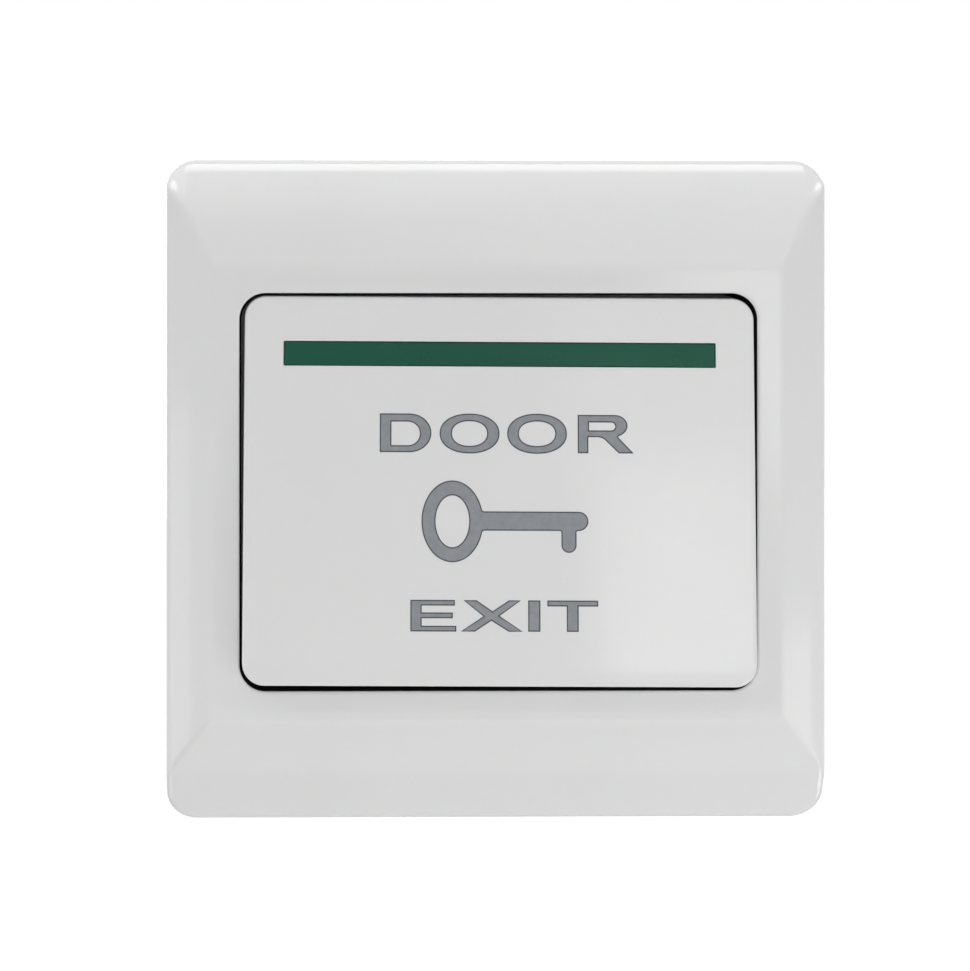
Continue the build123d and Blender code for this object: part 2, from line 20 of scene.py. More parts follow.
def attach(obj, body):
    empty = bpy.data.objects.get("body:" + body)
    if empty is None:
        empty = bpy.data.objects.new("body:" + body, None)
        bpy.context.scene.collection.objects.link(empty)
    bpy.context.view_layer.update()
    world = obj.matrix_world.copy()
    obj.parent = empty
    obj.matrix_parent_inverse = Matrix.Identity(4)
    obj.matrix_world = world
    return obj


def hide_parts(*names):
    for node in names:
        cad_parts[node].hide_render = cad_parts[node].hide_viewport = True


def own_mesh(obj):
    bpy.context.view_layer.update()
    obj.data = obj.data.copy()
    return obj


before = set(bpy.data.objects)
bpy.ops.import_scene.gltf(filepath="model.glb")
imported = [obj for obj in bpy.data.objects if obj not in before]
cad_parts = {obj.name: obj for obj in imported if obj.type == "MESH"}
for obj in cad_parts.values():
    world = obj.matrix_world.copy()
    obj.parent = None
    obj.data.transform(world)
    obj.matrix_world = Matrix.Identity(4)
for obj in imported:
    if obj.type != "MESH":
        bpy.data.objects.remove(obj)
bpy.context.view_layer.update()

log = logging.getLogger("door_exit_button")

MM = 0.001
SHARP = radians(38)  # an edge that turns by more is shaded as sharp
QUARTER, FULL = pi / 2, 2 * pi
TINY = 1e-9  # keeps a divisor from being zero
SAME = 1e-6  # points this close together are one
NOISE_LOW, NOISE_HIGH = 0.3, 0.7  # most of a noise texture's values lie between these
WHITE = (1.0, 1.0, 1.0, 1.0)

Point = tuple[float, float, float]
Flat = tuple[float, float]
Colour = tuple[float, float, float]
Loop = list[int]
Node = bpy.types.Node
Material = bpy.types.Material
Thing = bpy.types.Object


class Body(Enum):
    """The bodies that pieces ride on."""

    BASE = "base"
    BUTTON = "button"
    PLUNGER = "plunger"


class Slot(Enum):
    """The material slots of the part."""

    GLOSS_WHITE = "gloss_white"
    MATTE_WHITE = "matte_white"
    GREEN = "green_insert"
    NYLON = "ivory_nylon"
    ACETAL = "grey_acetal"
    ZINC = "zinc_steel"
    SPRING = "spring_steel"
    BRASS = "brass_strip"
    SILVER = "silver_contact"


# Finishes


def add_node(tree: bpy.types.NodeTree, kind: str, values: dict[str, object] | None = None) -> Node:
    """Add a shader node with plain values on its inputs.

    Args:
        tree: The node tree that gets it.
        kind: The node's type, without "ShaderNode".
        values: Names of inputs, and their values.

    Returns:
        The new node.
    """
    node = tree.nodes.new(f"ShaderNode{kind}")
    for key, value in (values or {}).items():
        node.inputs[key].default_value = value
    return node


class Graph:
    """Short calls for building a node material."""

    def __init__(self, name: str) -> None:
        """Start a material with an output and a Principled shader.

        Args:
            name: The material's name.
        """
        self.material = bpy.data.materials.new(name)
        self.material.use_nodes = True
        self.tree = self.material.node_tree
        self.tree.nodes.clear()
        output = add_node(self.tree, "OutputMaterial")
        self.shader = add_node(self.tree, "BsdfPrincipled")
        self.link(self.shader, "BSDF", output, "Surface")

    def link(self, source: Node, out: str, target: Node, into: str) -> None:
        """Join an output socket to an input socket."""
        self.tree.links.new(source.outputs[out], target.inputs[into])

    def feed(self, source: Node, out: str, into: str) -> None:
        """Join an output socket to one of the shader's inputs."""
        self.link(source, out, self.shader, into)

    def noise(self, scale: float, detail: float = 3.0, rough: float = 0.5,
              stretch: Point = (1.0, 1.0, 1.0)) -> Node:
        """Make a noise texture in the object's own coordinates.

        Args:
            scale: Features per metre.
            detail: Octaves of finer noise.
            rough: Strength of the finer octaves.
            stretch: Scale along each axis, for brushed or drawn surfaces.

        Returns:
            The noise node.
        """
        place = add_node(self.tree, "TexCoord")
        mapping = add_node(self.tree, "Mapping", {"Scale": stretch})
        values = {"Scale": scale, "Detail": detail, "Roughness": rough}
        node = add_node(self.tree, "TexNoise", values)
        self.link(place, "Object", mapping, "Vector")
        self.link(mapping, "Vector", node, "Vector")
        return node

    def ramp(self, source: Node, stops: Sequence[tuple[float, Sequence[float]]]) -> Node:
        """Map a noise through colour stops.

        Args:
            source: The noise.
            stops: Pairs of position and linear colour.

        Returns:
            The ramp node.
        """
        node = add_node(self.tree, "ValToRGB")
        elements = node.color_ramp.elements
        while len(elements) < len(stops):
            elements.new(0.5)
        for element, (place, colour) in zip(elements, stops):
            element.position = place
            element.color = (*colour, 1.0)
        self.link(source, "Fac", node, "Fac")
        return node

    def spread(self, source: Node, low: float, high: float) -> Node:
        """Map a noise to a range of values, such as roughness.

        Args:
            source: The noise.
            low: The value where the noise is low.
            high: The value where it is high.

        Returns:
            The node whose Result is the value.
        """
        node = add_node(self.tree, "MapRange", {
            "From Min": NOISE_LOW, "From Max": NOISE_HIGH, "To Min": low, "To Max": high,
        })
        self.link(source, "Fac", node, "Value")
        return node

    def bump(self, source: Node, depth: float, below: Node | None = None) -> Node:
        """Make a bump, over another bump if one is given.

        Args:
            source: The noise that gives its relief.
            depth: Its depth in metres.
            below: The bump that it lies on.

        Returns:
            The bump node.
        """
        node = add_node(self.tree, "Bump", {"Distance": depth, "Strength": 1.0})
        self.link(source, "Fac", node, "Height")
        if below is not None:
            self.link(below, "Normal", node, "Normal")
        return node


def tint(colour: Sequence[float], share: float) -> tuple[float, ...]:
    """Scale a colour's brightness by a share."""
    return tuple(min(c * share, 1.0) for c in colour)


@dataclass(frozen=True)
class MouldedPlastic:
    """Injection-moulded plastic: polished or spark-eroded, with faint flow and colour drift.

    Scales are in features per metre, and depths and the light's reach in metres.
    """

    name: str
    colour: Colour
    rough: tuple[float, float]
    grain_scale: float
    grain_depth: float
    drift: float = 0.015
    wave_depth: float = 0.0
    soft_light: float = 0.0
    specular: float = 0.5
    ior: float = 1.5
    light_reach: float = 0.0008
    cloud_scale: float = 55.0
    patch_scale: float = 140.0
    wave_scale: float = 260.0

    def material(self) -> Material:
        """Build the node material.

        Returns:
            The material.
        """
        g = Graph(self.name)
        dark, light = (tint(self.colour, 1 + turn * self.drift) for turn in (-1, 1))
        cloud = g.noise(self.cloud_scale, detail=3.0, rough=0.55)
        g.feed(g.ramp(cloud, [(NOISE_LOW, dark), (NOISE_HIGH, light)]), "Color", "Base Color")
        patch = g.noise(self.patch_scale, detail=4.0, rough=0.6)
        g.feed(g.spread(patch, *self.rough), "Result", "Roughness")
        wave = None
        if self.wave_depth:
            wave = g.bump(g.noise(self.wave_scale, detail=1.0), self.wave_depth)
        grain = g.noise(self.grain_scale, detail=4.0, rough=0.6)
        g.feed(g.bump(grain, self.grain_depth, wave), "Normal", "Normal")
        g.shader.inputs["IOR"].default_value = self.ior
        g.shader.inputs["Specular IOR Level"].default_value = self.specular
        if self.soft_light:
            g.shader.inputs["Subsurface Weight"].default_value = self.soft_light
            g.shader.inputs["Subsurface Scale"].default_value = self.light_reach
        return g.material


@dataclass(frozen=True)
class BareMetal:
    """Plated, drawn or stamped metal, with handling marks and a direction of working."""

    name: str
    colour: Colour
    stain: Colour
    rough: tuple[float, float]
    line_depth: float
    stretch: Point = (1.0, 1.0, 1.0)
    cloud_scale: float = 420.0
    line_scale: float = 2600.0
    stops: Point = (0.32, 0.55, 0.75)  # where the cloud is stained, plain and worn bright
    bright: float = 1.06

    def material(self) -> Material:
        """Build the node material.

        Returns:
            The material.
        """
        g = Graph(self.name)
        tones = (self.stain, self.colour, tint(self.colour, self.bright))
        cloud = g.noise(self.cloud_scale, detail=5.0, rough=0.6)
        g.feed(g.ramp(cloud, list(zip(self.stops, tones))), "Color", "Base Color")
        g.shader.inputs["Metallic"].default_value = 1.0
        lines = g.noise(self.line_scale, detail=4.0, rough=0.65, stretch=self.stretch)
        g.feed(g.spread(lines, *self.rough), "Result", "Roughness")
        g.feed(g.bump(lines, self.line_depth), "Normal", "Normal")
        return g.material


@dataclass(frozen=True)
class FilledPaint:
    """Paint wiped into the shallow letters: dull, with a grainy surface and worn spots. Its darker
    copy on the outlines is painted shade.
    """

    name: str
    colour: Colour
    light: Colour
    rough: tuple[float, float] = (0.42, 0.6)
    cloud_scale: float = 900.0
    grain_scale: float = 6000.0
    grain_depth: float = 6e-6
    stops: Flat = (0.35, 0.7)  # where the cloud is plain and light

    def material(self) -> Material:
        """Build the node material.

        Returns:
            The material.
        """
        g = Graph(self.name)
        cloud = g.noise(self.cloud_scale, detail=5.0, rough=0.65)
        tones = zip(self.stops, (self.colour, self.light))
        g.feed(g.ramp(cloud, list(tones)), "Color", "Base Color")
        g.feed(g.spread(cloud, *self.rough), "Result", "Roughness")
        g.feed(g.bump(g.noise(self.grain_scale), self.grain_depth), "Normal", "Normal")
        return g.material


GLOSS_WHITE = MouldedPlastic(
    "gloss_white_abs", (0.79, 0.79, 0.79), rough=(0.08, 0.12), grain_scale=5200.0,
    grain_depth=8e-7, drift=0.01, wave_depth=2.5e-6, soft_light=0.06,
)
# Painted shade: a near-black colour for the opening's inner wall that stands in for the deep shadow
# in the gap, made with the moulded-plastic recipe.
PAINTED_GAP_SHADE = MouldedPlastic(
    "painted_gap_shade", (0.02, 0.02, 0.02), rough=(0.7, 0.85), grain_scale=3000.0,
    grain_depth=1e-5, drift=0.2, specular=0.1,
)
SATIN_WHITE = MouldedPlastic(
    "satin_white_abs", (0.72, 0.72, 0.71), rough=(0.38, 0.5), grain_scale=4200.0,
    grain_depth=1.2e-5, drift=0.02,
)
GREEN_INSERT = MouldedPlastic(
    "green_insert", (0.006, 0.084, 0.05), rough=(0.2, 0.3), grain_scale=3800.0,
    grain_depth=3e-6, drift=0.08, specular=0.2,
)
IVORY_NYLON = MouldedPlastic(
    "ivory_nylon", (0.66, 0.61, 0.49), rough=(0.42, 0.56), grain_scale=3600.0,
    grain_depth=2e-5, drift=0.03, soft_light=0.1,
)
GREY_ACETAL = MouldedPlastic(
    "grey_acetal", (0.3, 0.31, 0.32), rough=(0.32, 0.42), grain_scale=3900.0,
    grain_depth=8e-6, drift=0.03,
)
ZINC = BareMetal(
    "zinc_plate", (0.62, 0.63, 0.66), stain=(0.46, 0.48, 0.5), rough=(0.24, 0.42),
    line_depth=6e-6, stretch=(1.0, 0.35, 1.0),
)
SPRING_WIRE = BareMetal(
    "spring_wire", (0.5, 0.5, 0.52), stain=(0.36, 0.35, 0.34), rough=(0.2, 0.34), line_depth=4e-6
)
BRASS = BareMetal(
    "stamped_brass", (0.78, 0.57, 0.3), stain=(0.6, 0.4, 0.2), rough=(0.22, 0.38),
    line_depth=5e-6, stretch=(0.12, 1.0, 1.0),
)
SILVER = BareMetal(
    "silver_tip", (0.82, 0.81, 0.79), stain=(0.6, 0.57, 0.5), rough=(0.2, 0.4), line_depth=6e-6
)
MARK_FILL = FilledPaint("mark_fill", (0.228, 0.24, 0.258), light=(0.283, 0.297, 0.317))
# Painted shade: the letters' dark outline stands in for the shadow on the walls of the engraved
# letters.
MARK_RIM_PAINTED_SHADE = FilledPaint("mark_rim_painted_shade", (0.03, 0.034, 0.04), light=(0.055, 0.06, 0.067))


# Mesh work


def outline(half_x: float, half_z: float, radius: float, side: int = 40,
            corner: int = 8, crowd: float = 0.0) -> np.ndarray:
    """Points round a rounded rectangle, the same number whatever its size.

    Args:
        half_x: Half the width.
        half_z: Half the height.
        radius: Corner radius.
        side: Points along each side.
        corner: Points round each corner.
        crowd: How far the points along a side gather at its ends, from 0 to 1.

    Returns:
        An array of (x, z) rows, anticlockwise from the right side's foot.
    """
    cx, cz = half_x - radius, half_z - radius
    corners = [(cx, cz, 0), (-cx, cz, 90), (-cx, -cz, 180), (cx, -cz, 270)]
    rows: list[Flat] = []
    for index, (x, z, start) in enumerate(corners):
        px, pz, before = corners[index - 1]
        end, turn = radians(before + 90), radians(start)
        first = (px + radius * cos(end), pz + radius * sin(end))
        last = (x + radius * cos(turn), z + radius * sin(turn))
        for step in range(side):
            share = (step + 1) / (side + 1)
            share -= crowd * sin(FULL * share) / FULL
            rows.append(tuple(a + (b - a) * share for a, b in zip(first, last)))
        rows += arc((x, z), (radius, radius), start, start + 90, corner)
    return np.array(rows)


def arc(centre: Flat, radius: Flat, start: float, end: float, steps: int) -> list[Flat]:
    """Points on an ellipse between two angles, both ends included.

    Args:
        centre: Its middle.
        radius: Its reach across and up.
        start: The first angle in degrees.
        end: The last angle in degrees.
        steps: How many steps the points take.

    Returns:
        The points.
    """
    turns = [radians(start + (end - start) * k / steps) for k in range(steps + 1)]
    return [(centre[0] + radius[0] * cos(t), centre[1] + radius[1] * sin(t)) for t in turns]


def bend(first: Flat, corner: Flat, last: Flat, steps: int = 6) -> list[Flat]:
    """Points of a soft corner.

    Args:
        first: Where it starts.
        corner: The sharp corner that it rounds.
        last: Where it ends.
        steps: How many steps the points take.

    Returns:
        The points.
    """
    return [
        tuple((1 - s) ** 2 * a + 2 * s * (1 - s) * b + s * s * c
              for a, b, c in zip(first, corner, last))
        for s in (k / steps for k in range(steps + 1))
    ]


def put(name: str, data: bpy.types.ID) -> Thing:
    """Put a new object into the scene.

    Args:
        name: Its name.
        data: Its mesh, lamp or camera.

    Returns:
        The object.
    """
    thing = bpy.data.objects.new(name, data)
    bpy.context.scene.collection.objects.link(thing)
    return thing


def out_of_wall(across: float, up: float, out: float) -> Point:
    """Place a point by its height out of the wall."""
    return (across, -out, up)


class Skin:
    """A mesh under construction, in millimetres: loops of points joined by faces."""

    def __init__(self, place: Callable[[float, float, float], Point] = out_of_wall) -> None:
        """Start empty.

        Args:
            place: How (across, up, out) becomes X, Y, Z.
        """
        self.place = place
        self.points: list[Point] = []
        self.faces: list[tuple[int, ...]] = []

    def add(self, points: Sequence[Point]) -> Loop:
        """Add points that are in their places, and give their numbers."""
        self.points += points
        return list(range(len(self.points) - len(points), len(self.points)))

    def loop(self, flat: Sequence[Sequence[float]], heights: float | Sequence[float]) -> Loop:
        """Add a closed loop of points.

        Args:
            flat: The (across, up) places.
            heights: One height, or one for each place.

        Returns:
            The new points' numbers.
        """
        level = np.broadcast_to(np.asarray(heights, float), (len(flat),))
        spots = ((float(a), float(b), float(h)) for (a, b), h in zip(flat, level))
        return self.add([self.place(*spot) for spot in spots])

    def join(self, low: Loop, high: Loop) -> None:
        """Join two loops with a strip of faces.

        Args:
            low: The first loop.
            high: The second, of the same length.
        """
        count = len(low)
        self.faces += [
            (low[k], low[(k + 1) % count], high[(k + 1) % count], high[k]) for k in range(count)
        ]

    def chain(self, loops: Sequence[Loop], closed: bool = False) -> None:
        """Join loops one after another.

        Args:
            loops: The loops.
            closed: Whether the last is joined to the first.
        """
        for low, high in zip(loops, loops[1:]):
            self.join(low, high)
        if closed:
            self.join(loops[-1], loops[0])

    def cap(self, loop: Loop, flip: bool = False) -> None:
        """Close a loop with one face, turned over if flipped."""
        self.faces.append(tuple(reversed(loop)) if flip else tuple(loop))

    def close(self, loops: Sequence[Loop]) -> None:
        """Join loops one after another, and close both ends.

        Args:
            loops: The loops.
        """
        self.chain(loops)
        self.cap(loops[0], flip=True)
        self.cap(loops[-1])

    def sheet(self, loops: Sequence[Loop], flip: bool = False) -> None:
        """Close an outer loop that has holes.

        Args:
            loops: The outer loop and the holes, all in one plane.
            flip: Whether the faces are turned over.
        """
        rings = [[Vector(self.points[k]) for k in ring] for ring in loops]
        order = [k for ring in loops for k in ring]
        for face in tessellate_polygon(rings):
            self.cap([order[k] for k in face], flip)

    def block(self, middle: Flat, size: Flat, low: float, high: float, bevel: float = 0.12) -> None:
        """Add a closed block with bevelled edges.

        Args:
            middle: Its place across and up.
            size: Its size across and up.
            low: The height of its foot.
            high: The height of its top.
            bevel: The width of its bevels.
        """
        least_r = 0.01
        levels = [(low, bevel), (low + bevel, 0.0), (high - bevel, 0.0), (high, bevel)]
        loops = []
        for height, inset in levels:
            half_x, half_z = (length / 2 - inset for length in size)
            ring = outline(half_x, half_z, max(bevel - inset, least_r), side=0, corner=2)
            loops.append(self.loop(ring + np.array(middle), height))
        self.close(loops)

    def turned(self, middle: Flat, profile: Sequence[Flat], steps: int = 40) -> None:
        """Add a closed turned form.

        Args:
            middle: The place of its axis.
            profile: Pairs of radius and height, foot to top.
            steps: Points round it.
        """
        last = 360 * (steps - 1) / steps
        self.close([self.loop(arc(middle, (r, r), 0, last, steps - 1), h) for r, h in profile])

    def mesh(self, name: str) -> bpy.types.Mesh:
        """Make the mesh in metres, with its faces turned outwards.

        Args:
            name: The mesh's name.

        Returns:
            The new mesh.
        """
        mesh = bpy.data.meshes.new(name)
        mesh.from_pydata([tuple(c * MM for c in p) for p in self.points], [], self.faces)
        work = bmesh.new()
        work.from_mesh(mesh)
        bmesh.ops.recalc_face_normals(work, faces=work.faces)
        work.to_mesh(mesh)
        work.free()
        return mesh

    def build(self, name: str, finish: Material, body: Body, slot: Slot) -> Thing:
        """Make the object, dress it and let it ride on its body.

        Args:
            name: The piece's name.
            finish: Its material.
            body: The body that it moves with.
            slot: Not used.

        Returns:
            The new object.
        """
        mesh = self.mesh(name)
        mesh.polygons.foreach_set("use_smooth", [True] * len(mesh.polygons))
        mesh.set_sharp_from_angle(angle=SHARP)
        mesh.materials.append(finish)
        piece = put(name, mesh)
        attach(piece, body.value)
        log.info("%s: %d points on %s", name, len(self.points), body.value)
        return piece


def carve(piece: Thing, cutters: Sequence[Skin]) -> None:
    """Cut closed forms out of a piece.

    Args:
        piece: The piece to cut.
        cutters: The forms, each made in the piece's own frame.
    """
    for number, cutter in enumerate(cutters):
        mesh = cutter.mesh(f"cutter_{number}")
        tool = put(mesh.name, mesh)
        cut = piece.modifiers.new("cut", "BOOLEAN")
        cut.operation, cut.object, cut.solver = "DIFFERENCE", tool, "EXACT"
        bpy.context.view_layer.update()
        shaped = piece.evaluated_get(bpy.context.evaluated_depsgraph_get())
        result = bpy.data.meshes.new_from_object(shaped)
        piece.modifiers.remove(cut)
        piece.data = result
        bpy.data.objects.remove(tool)
    piece.data.set_sharp_from_angle(angle=SHARP)


def dress(node: str, finish: Material) -> None:
    """Give a CAD node its finish.

    Args:
        node: The node's name.
        finish: The material.
    """
    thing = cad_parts[node]
    thing.data.materials.clear()
    thing.data.materials.append(finish)
    log.info("%s: CAD node dressed in %s", node, finish.name)


# Frame


@dataclass(frozen=True)
class Slope:
    """The profile of a band or flank, which gets steeper towards the rim."""

    crease: float
    width: float
    start: float
    fall: float
    power: float
    soft: float

    def drop(self, place: np.ndarray) -> np.ndarray:
        """How far the slope lies below the border.

        Args:
            place: Distances from the middle of the frame.

        Returns:
            The drop at each place, soft where the slope leaves the border.
        """
        run = place - self.crease
        steep = (np.clip(run, 0.0, None) / self.width) ** self.power
        fall = self.start * run + (self.fall - self.start * self.width) * steep
        near = np.clip(self.soft - np.abs(fall), 0.0, None)
        return np.maximum(fall, 0.0) + near**2 / (4 * self.soft)


@dataclass
class TrimFrame:
    """The gloss frame: convex bands and flanks that meet in mitres round a flat border."""

    half: float = 43.0
    corner_r: float = 3.8
    depth: float = 9.0
    wall: float = 1.8
    back: float = 0.3
    back_edge: float = 0.12
    top_band: Slope = Slope(28.7, 14.3, start=0.16, fall=5.2, power=3.0, soft=0.09)
    foot_band: Slope = Slope(28.7, 14.3, start=0.3, fall=6.6, power=2.0, soft=0.28)
    flank: Slope = Slope(36.4, 6.6, start=0.336, fall=3.3, power=2.0, soft=0.2)
    mitre_soft: float = 0.4
    mitre_share: float = 0.8  # of the drop, where the mitre starts at the border
    side_draft: float = 0.35
    facet_x: float = 40.1  # outwards of this the top band's end falls away
    facet_slope: float = 0.3
    facet_blend: float = 0.8
    rim_r: float = 1.0
    rim_steps: int = 9
    window: tuple[float, float, float] = (33.1, 25.4, 3.35)
    lip_r: float = 0.3
    lip_steps: int = 5
    collar_wall: float = 1.4
    collar_back: float = 2.1
    shade_margin: float = 0.05  # faces this close to the opening's wall get the painted shade
    nose: tuple[float, float, float] = (39.05, 42.1, 8.0)
    nose_heights: tuple[float, float] = (0.3, 1.0)
    nose_z: float = 15.0
    nose_bevel: float = 0.15
    notch: tuple[float, float, float] = (38.0, 1.4, 0.8)
    notch_bevel: float = 0.1
    over_cut: float = 1.0  # the notch's cutter runs this far past the frame
    side_points: int = 96
    corner_points: int = 16
    crowd: float = 0.75
    face_loops: int = 44
    crease_loops: tuple[float, ...] = (-1.6, -0.8, -0.3, 0.0, 0.3, 0.8, 1.6)  # in hundredths
    ceiling_loops: int = 14
    probe: float = 0.05

    def height(self, flat: np.ndarray) -> np.ndarray:
        """Height of the frame's face, without the rim's rounding.

        Args:
            flat: Rows of (x, z).

        Returns:
            The height over each row.
        """
        x, z = np.abs(flat[:, 0]), flat[:, 1]
        upper = z > 0
        band = np.where(upper, self.top_band.drop(z), self.foot_band.drop(-z))
        flank = self.flank.drop(x)
        share = np.clip((band - flank) / self.facet_blend, 0.0, 1.0)
        band = band + upper * share * self.facet_slope * np.clip(x - self.facet_x, 0.0, None)
        most = np.maximum(band, flank)
        soft = np.minimum(self.mitre_soft, most * self.mitre_share) + TINY
        near = np.clip(soft - np.abs(band - flank), 0.0, None)
        return self.depth - most - near**2 / (4 * soft)

    def inner_height(self, flat: np.ndarray) -> np.ndarray:
        """Height of the hollow's ceiling, one wall under the face.

        Args:
            flat: Rows of (x, z).

        Returns:
            The height over each row.
        """
        slopes = []
        for step in (np.array([self.probe, 0]), np.array([0, self.probe])):
            slopes.append((self.height(flat + step) - self.height(flat - step)) / 2 / self.probe)
        return self.height(flat) - self.wall * np.sqrt(1 + slopes[0] ** 2 + slopes[1] ** 2)

    def ring(self, half_x: float, half_z: float, radius: float) -> np.ndarray:
        """One of the frame's loops."""
        return outline(half_x, half_z, radius, self.side_points, self.corner_points, self.crowd)

    def face_rings(self) -> list[tuple[float, float, float]]:
        """Sizes of the loops over the face, closer together at the creases.

        Returns:
            Half sizes and corner radii, from the window outwards.
        """
        wx, wz, wr = (v + self.lip_r for v in self.window)
        ez, er = self.half - self.rim_r, self.corner_r - self.rim_r
        ex = ez - self.side_draft
        shares = set(np.linspace(0, 1, self.face_loops))
        for crease, start, end in ((self.foot_band.crease, wz, ez), (self.flank.crease, wx, ex)):
            middle = (crease - start) / (end - start)
            shares |= {middle + step / 100 for step in self.crease_loops}
        return [
            (wx + (ex - wx) * t, wz + (ez - wz) * t, wr + (er - wr) * t) for t in sorted(shares)
        ]

    def front_loops(self, skin: Skin) -> list[Loop]:
        """Add the opening's wall, its lip, the face, the rim and the sides.

        Args:
            skin: The skin that gets them.

        Returns:
            The loops, from the collar's foot outwards and back to the wall.
        """
        wx, wz, wr = self.window
        loops = [skin.loop(self.ring(wx, wz, wr), self.collar_back)]
        for k in range(self.lip_steps):
            turn = QUARTER * k / self.lip_steps
            out = self.lip_r * (1 - cos(turn))
            level = self.depth - self.lip_r * (1 - sin(turn))
            loops.append(skin.loop(self.ring(wx + out, wz + out, wr + out), level))
        for half_x, half_z, radius in self.face_rings():
            flat = self.ring(half_x, half_z, radius)
            loops.append(skin.loop(flat, self.height(flat)))
        front = self.half - self.side_draft
        for k in range(1, self.rim_steps + 1):
            turn = QUARTER * k / self.rim_steps
            out = self.rim_r * (1 - sin(turn))
            flat = self.ring(front - out, self.half - out, self.corner_r - out)
            loops.append(skin.loop(flat, self.height(flat) - self.rim_r * (1 - cos(turn))))
        edge, rim = self.back_edge, self.height(flat) - self.rim_r
        for share in (0.5, 1.0):
            flat = self.ring(front + self.side_draft * share, self.half, self.corner_r)
            loops.append(skin.loop(flat, rim + (self.back + edge - rim) * share))
        flat = self.ring(self.half - edge, self.half - edge, self.corner_r - edge)
        return [*loops, skin.loop(flat, self.back)]

    def hollow_loops(self, skin: Skin) -> list[Loop]:
        """Add the hollow behind the face and the collar's outer side.

        Args:
            skin: The skin that gets them.

        Returns:
            The loops, from the side walls' foot inwards.
        """
        side, radius = self.half - self.wall, self.corner_r - self.wall
        flat = self.ring(side, side, radius)
        loops = [skin.loop(flat, self.back), skin.loop(flat, self.inner_height(flat))]
        cx, cz, cr = (v + self.collar_wall for v in self.window)
        for share in np.linspace(0, 1, self.ceiling_loops)[1:]:
            flat = self.ring(side + (cx - side) * share, side + (cz - side) * share,
                             radius + (cr - radius) * share)
            loops.append(skin.loop(flat, self.inner_height(flat)))
        return [*loops, skin.loop(flat, self.collar_back)]

    def build(self, finish: Material, shade: Material) -> Thing:
        """Make the frame and let it stand for its CAD node.

        Args:
            finish: The moulding's material.
            shade: The near-black colour of the opening's inner wall, deep in the gap: painted shade
                that stands in for the gap's shadow.

        Returns:
            The frame's shell.
        """
        skin = Skin()
        skin.chain(self.front_loops(skin) + self.hollow_loops(skin), closed=True)
        piece = skin.build("frame_shell", finish, Body.BASE, Slot.GLOSS_WHITE)
        notch = Skin()
        x, width, rise = self.notch
        notch.block((x, -self.half), (width, 2 * self.wall + self.over_cut),
                    self.back - self.over_cut, self.back + rise, self.notch_bevel)
        carve(piece, [notch])
        # Painted shade: the opening's inner wall below the lip takes the near-black colour,
        # standing in for the deep shadow in the gap.
        piece.data.materials.append(shade)
        reach_x, reach_z = (v + self.shade_margin for v in self.window[:2])
        for face in piece.data.polygons:
            x, y, z = face.center / MM
            if abs(x) < reach_x and abs(z) < reach_z and -y < self.depth - self.lip_r:
                face.material_index = 1
        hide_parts("trim_frame")
        self.build_noses(finish)
        return piece

    def build_noses(self, finish: Material) -> None:
        """Make the four catches inside the flanks.

        Args:
            finish: The moulding's material.
        """
        skin = Skin()
        tip, root, length = self.nose
        for side in (-1, 1):
            for z in (-self.nose_z, self.nose_z):
                middle = (side * (tip + root) / 2, z)
                skin.block(middle, (root - tip, length), *self.nose_heights, self.nose_bevel)
        skin.build("frame_catches", finish, Body.BASE, Slot.GLOSS_WHITE)


# Push plate


@dataclass
class LeaningPlane:
    """The push plate's own plane: u to the right, v up the face and w out of it."""

    hinge_height: float = 4.4
    hinge_z: float = 20.0
    tilt: float = 4.5
    face_v: float = -20.1
    askew: float = 0.32

    def square(self, u: float, v: float, w: float) -> Point:
        """Place a point that lies square to the hinge.

        Args:
            u: To the right of the hinge's middle.
            v: Up the face from the hinge.
            w: Out of the hinge's plane.

        Returns:
            The point in X, Y, Z.
        """
        lean = radians(self.tilt)
        return (
            u,
            -self.hinge_height + v * sin(lean) - w * cos(lean),
            self.hinge_z + v * cos(lean) + w * sin(lean),
        )

    def turned(self, u: float, v: float, w: float) -> Point:
        """Place a point of the face, which sits slightly askew in the window.

        Args:
            u: To the right of the face's middle.
            v: Above the face's middle.
            w: Out of the hinge's plane.

        Returns:
            The point in X, Y, Z.
        """
        turn = radians(-self.askew)
        across = u * cos(turn) - v * sin(turn)
        up = u * sin(turn) + v * cos(turn)
        return self.square(across, up + self.face_v, w)


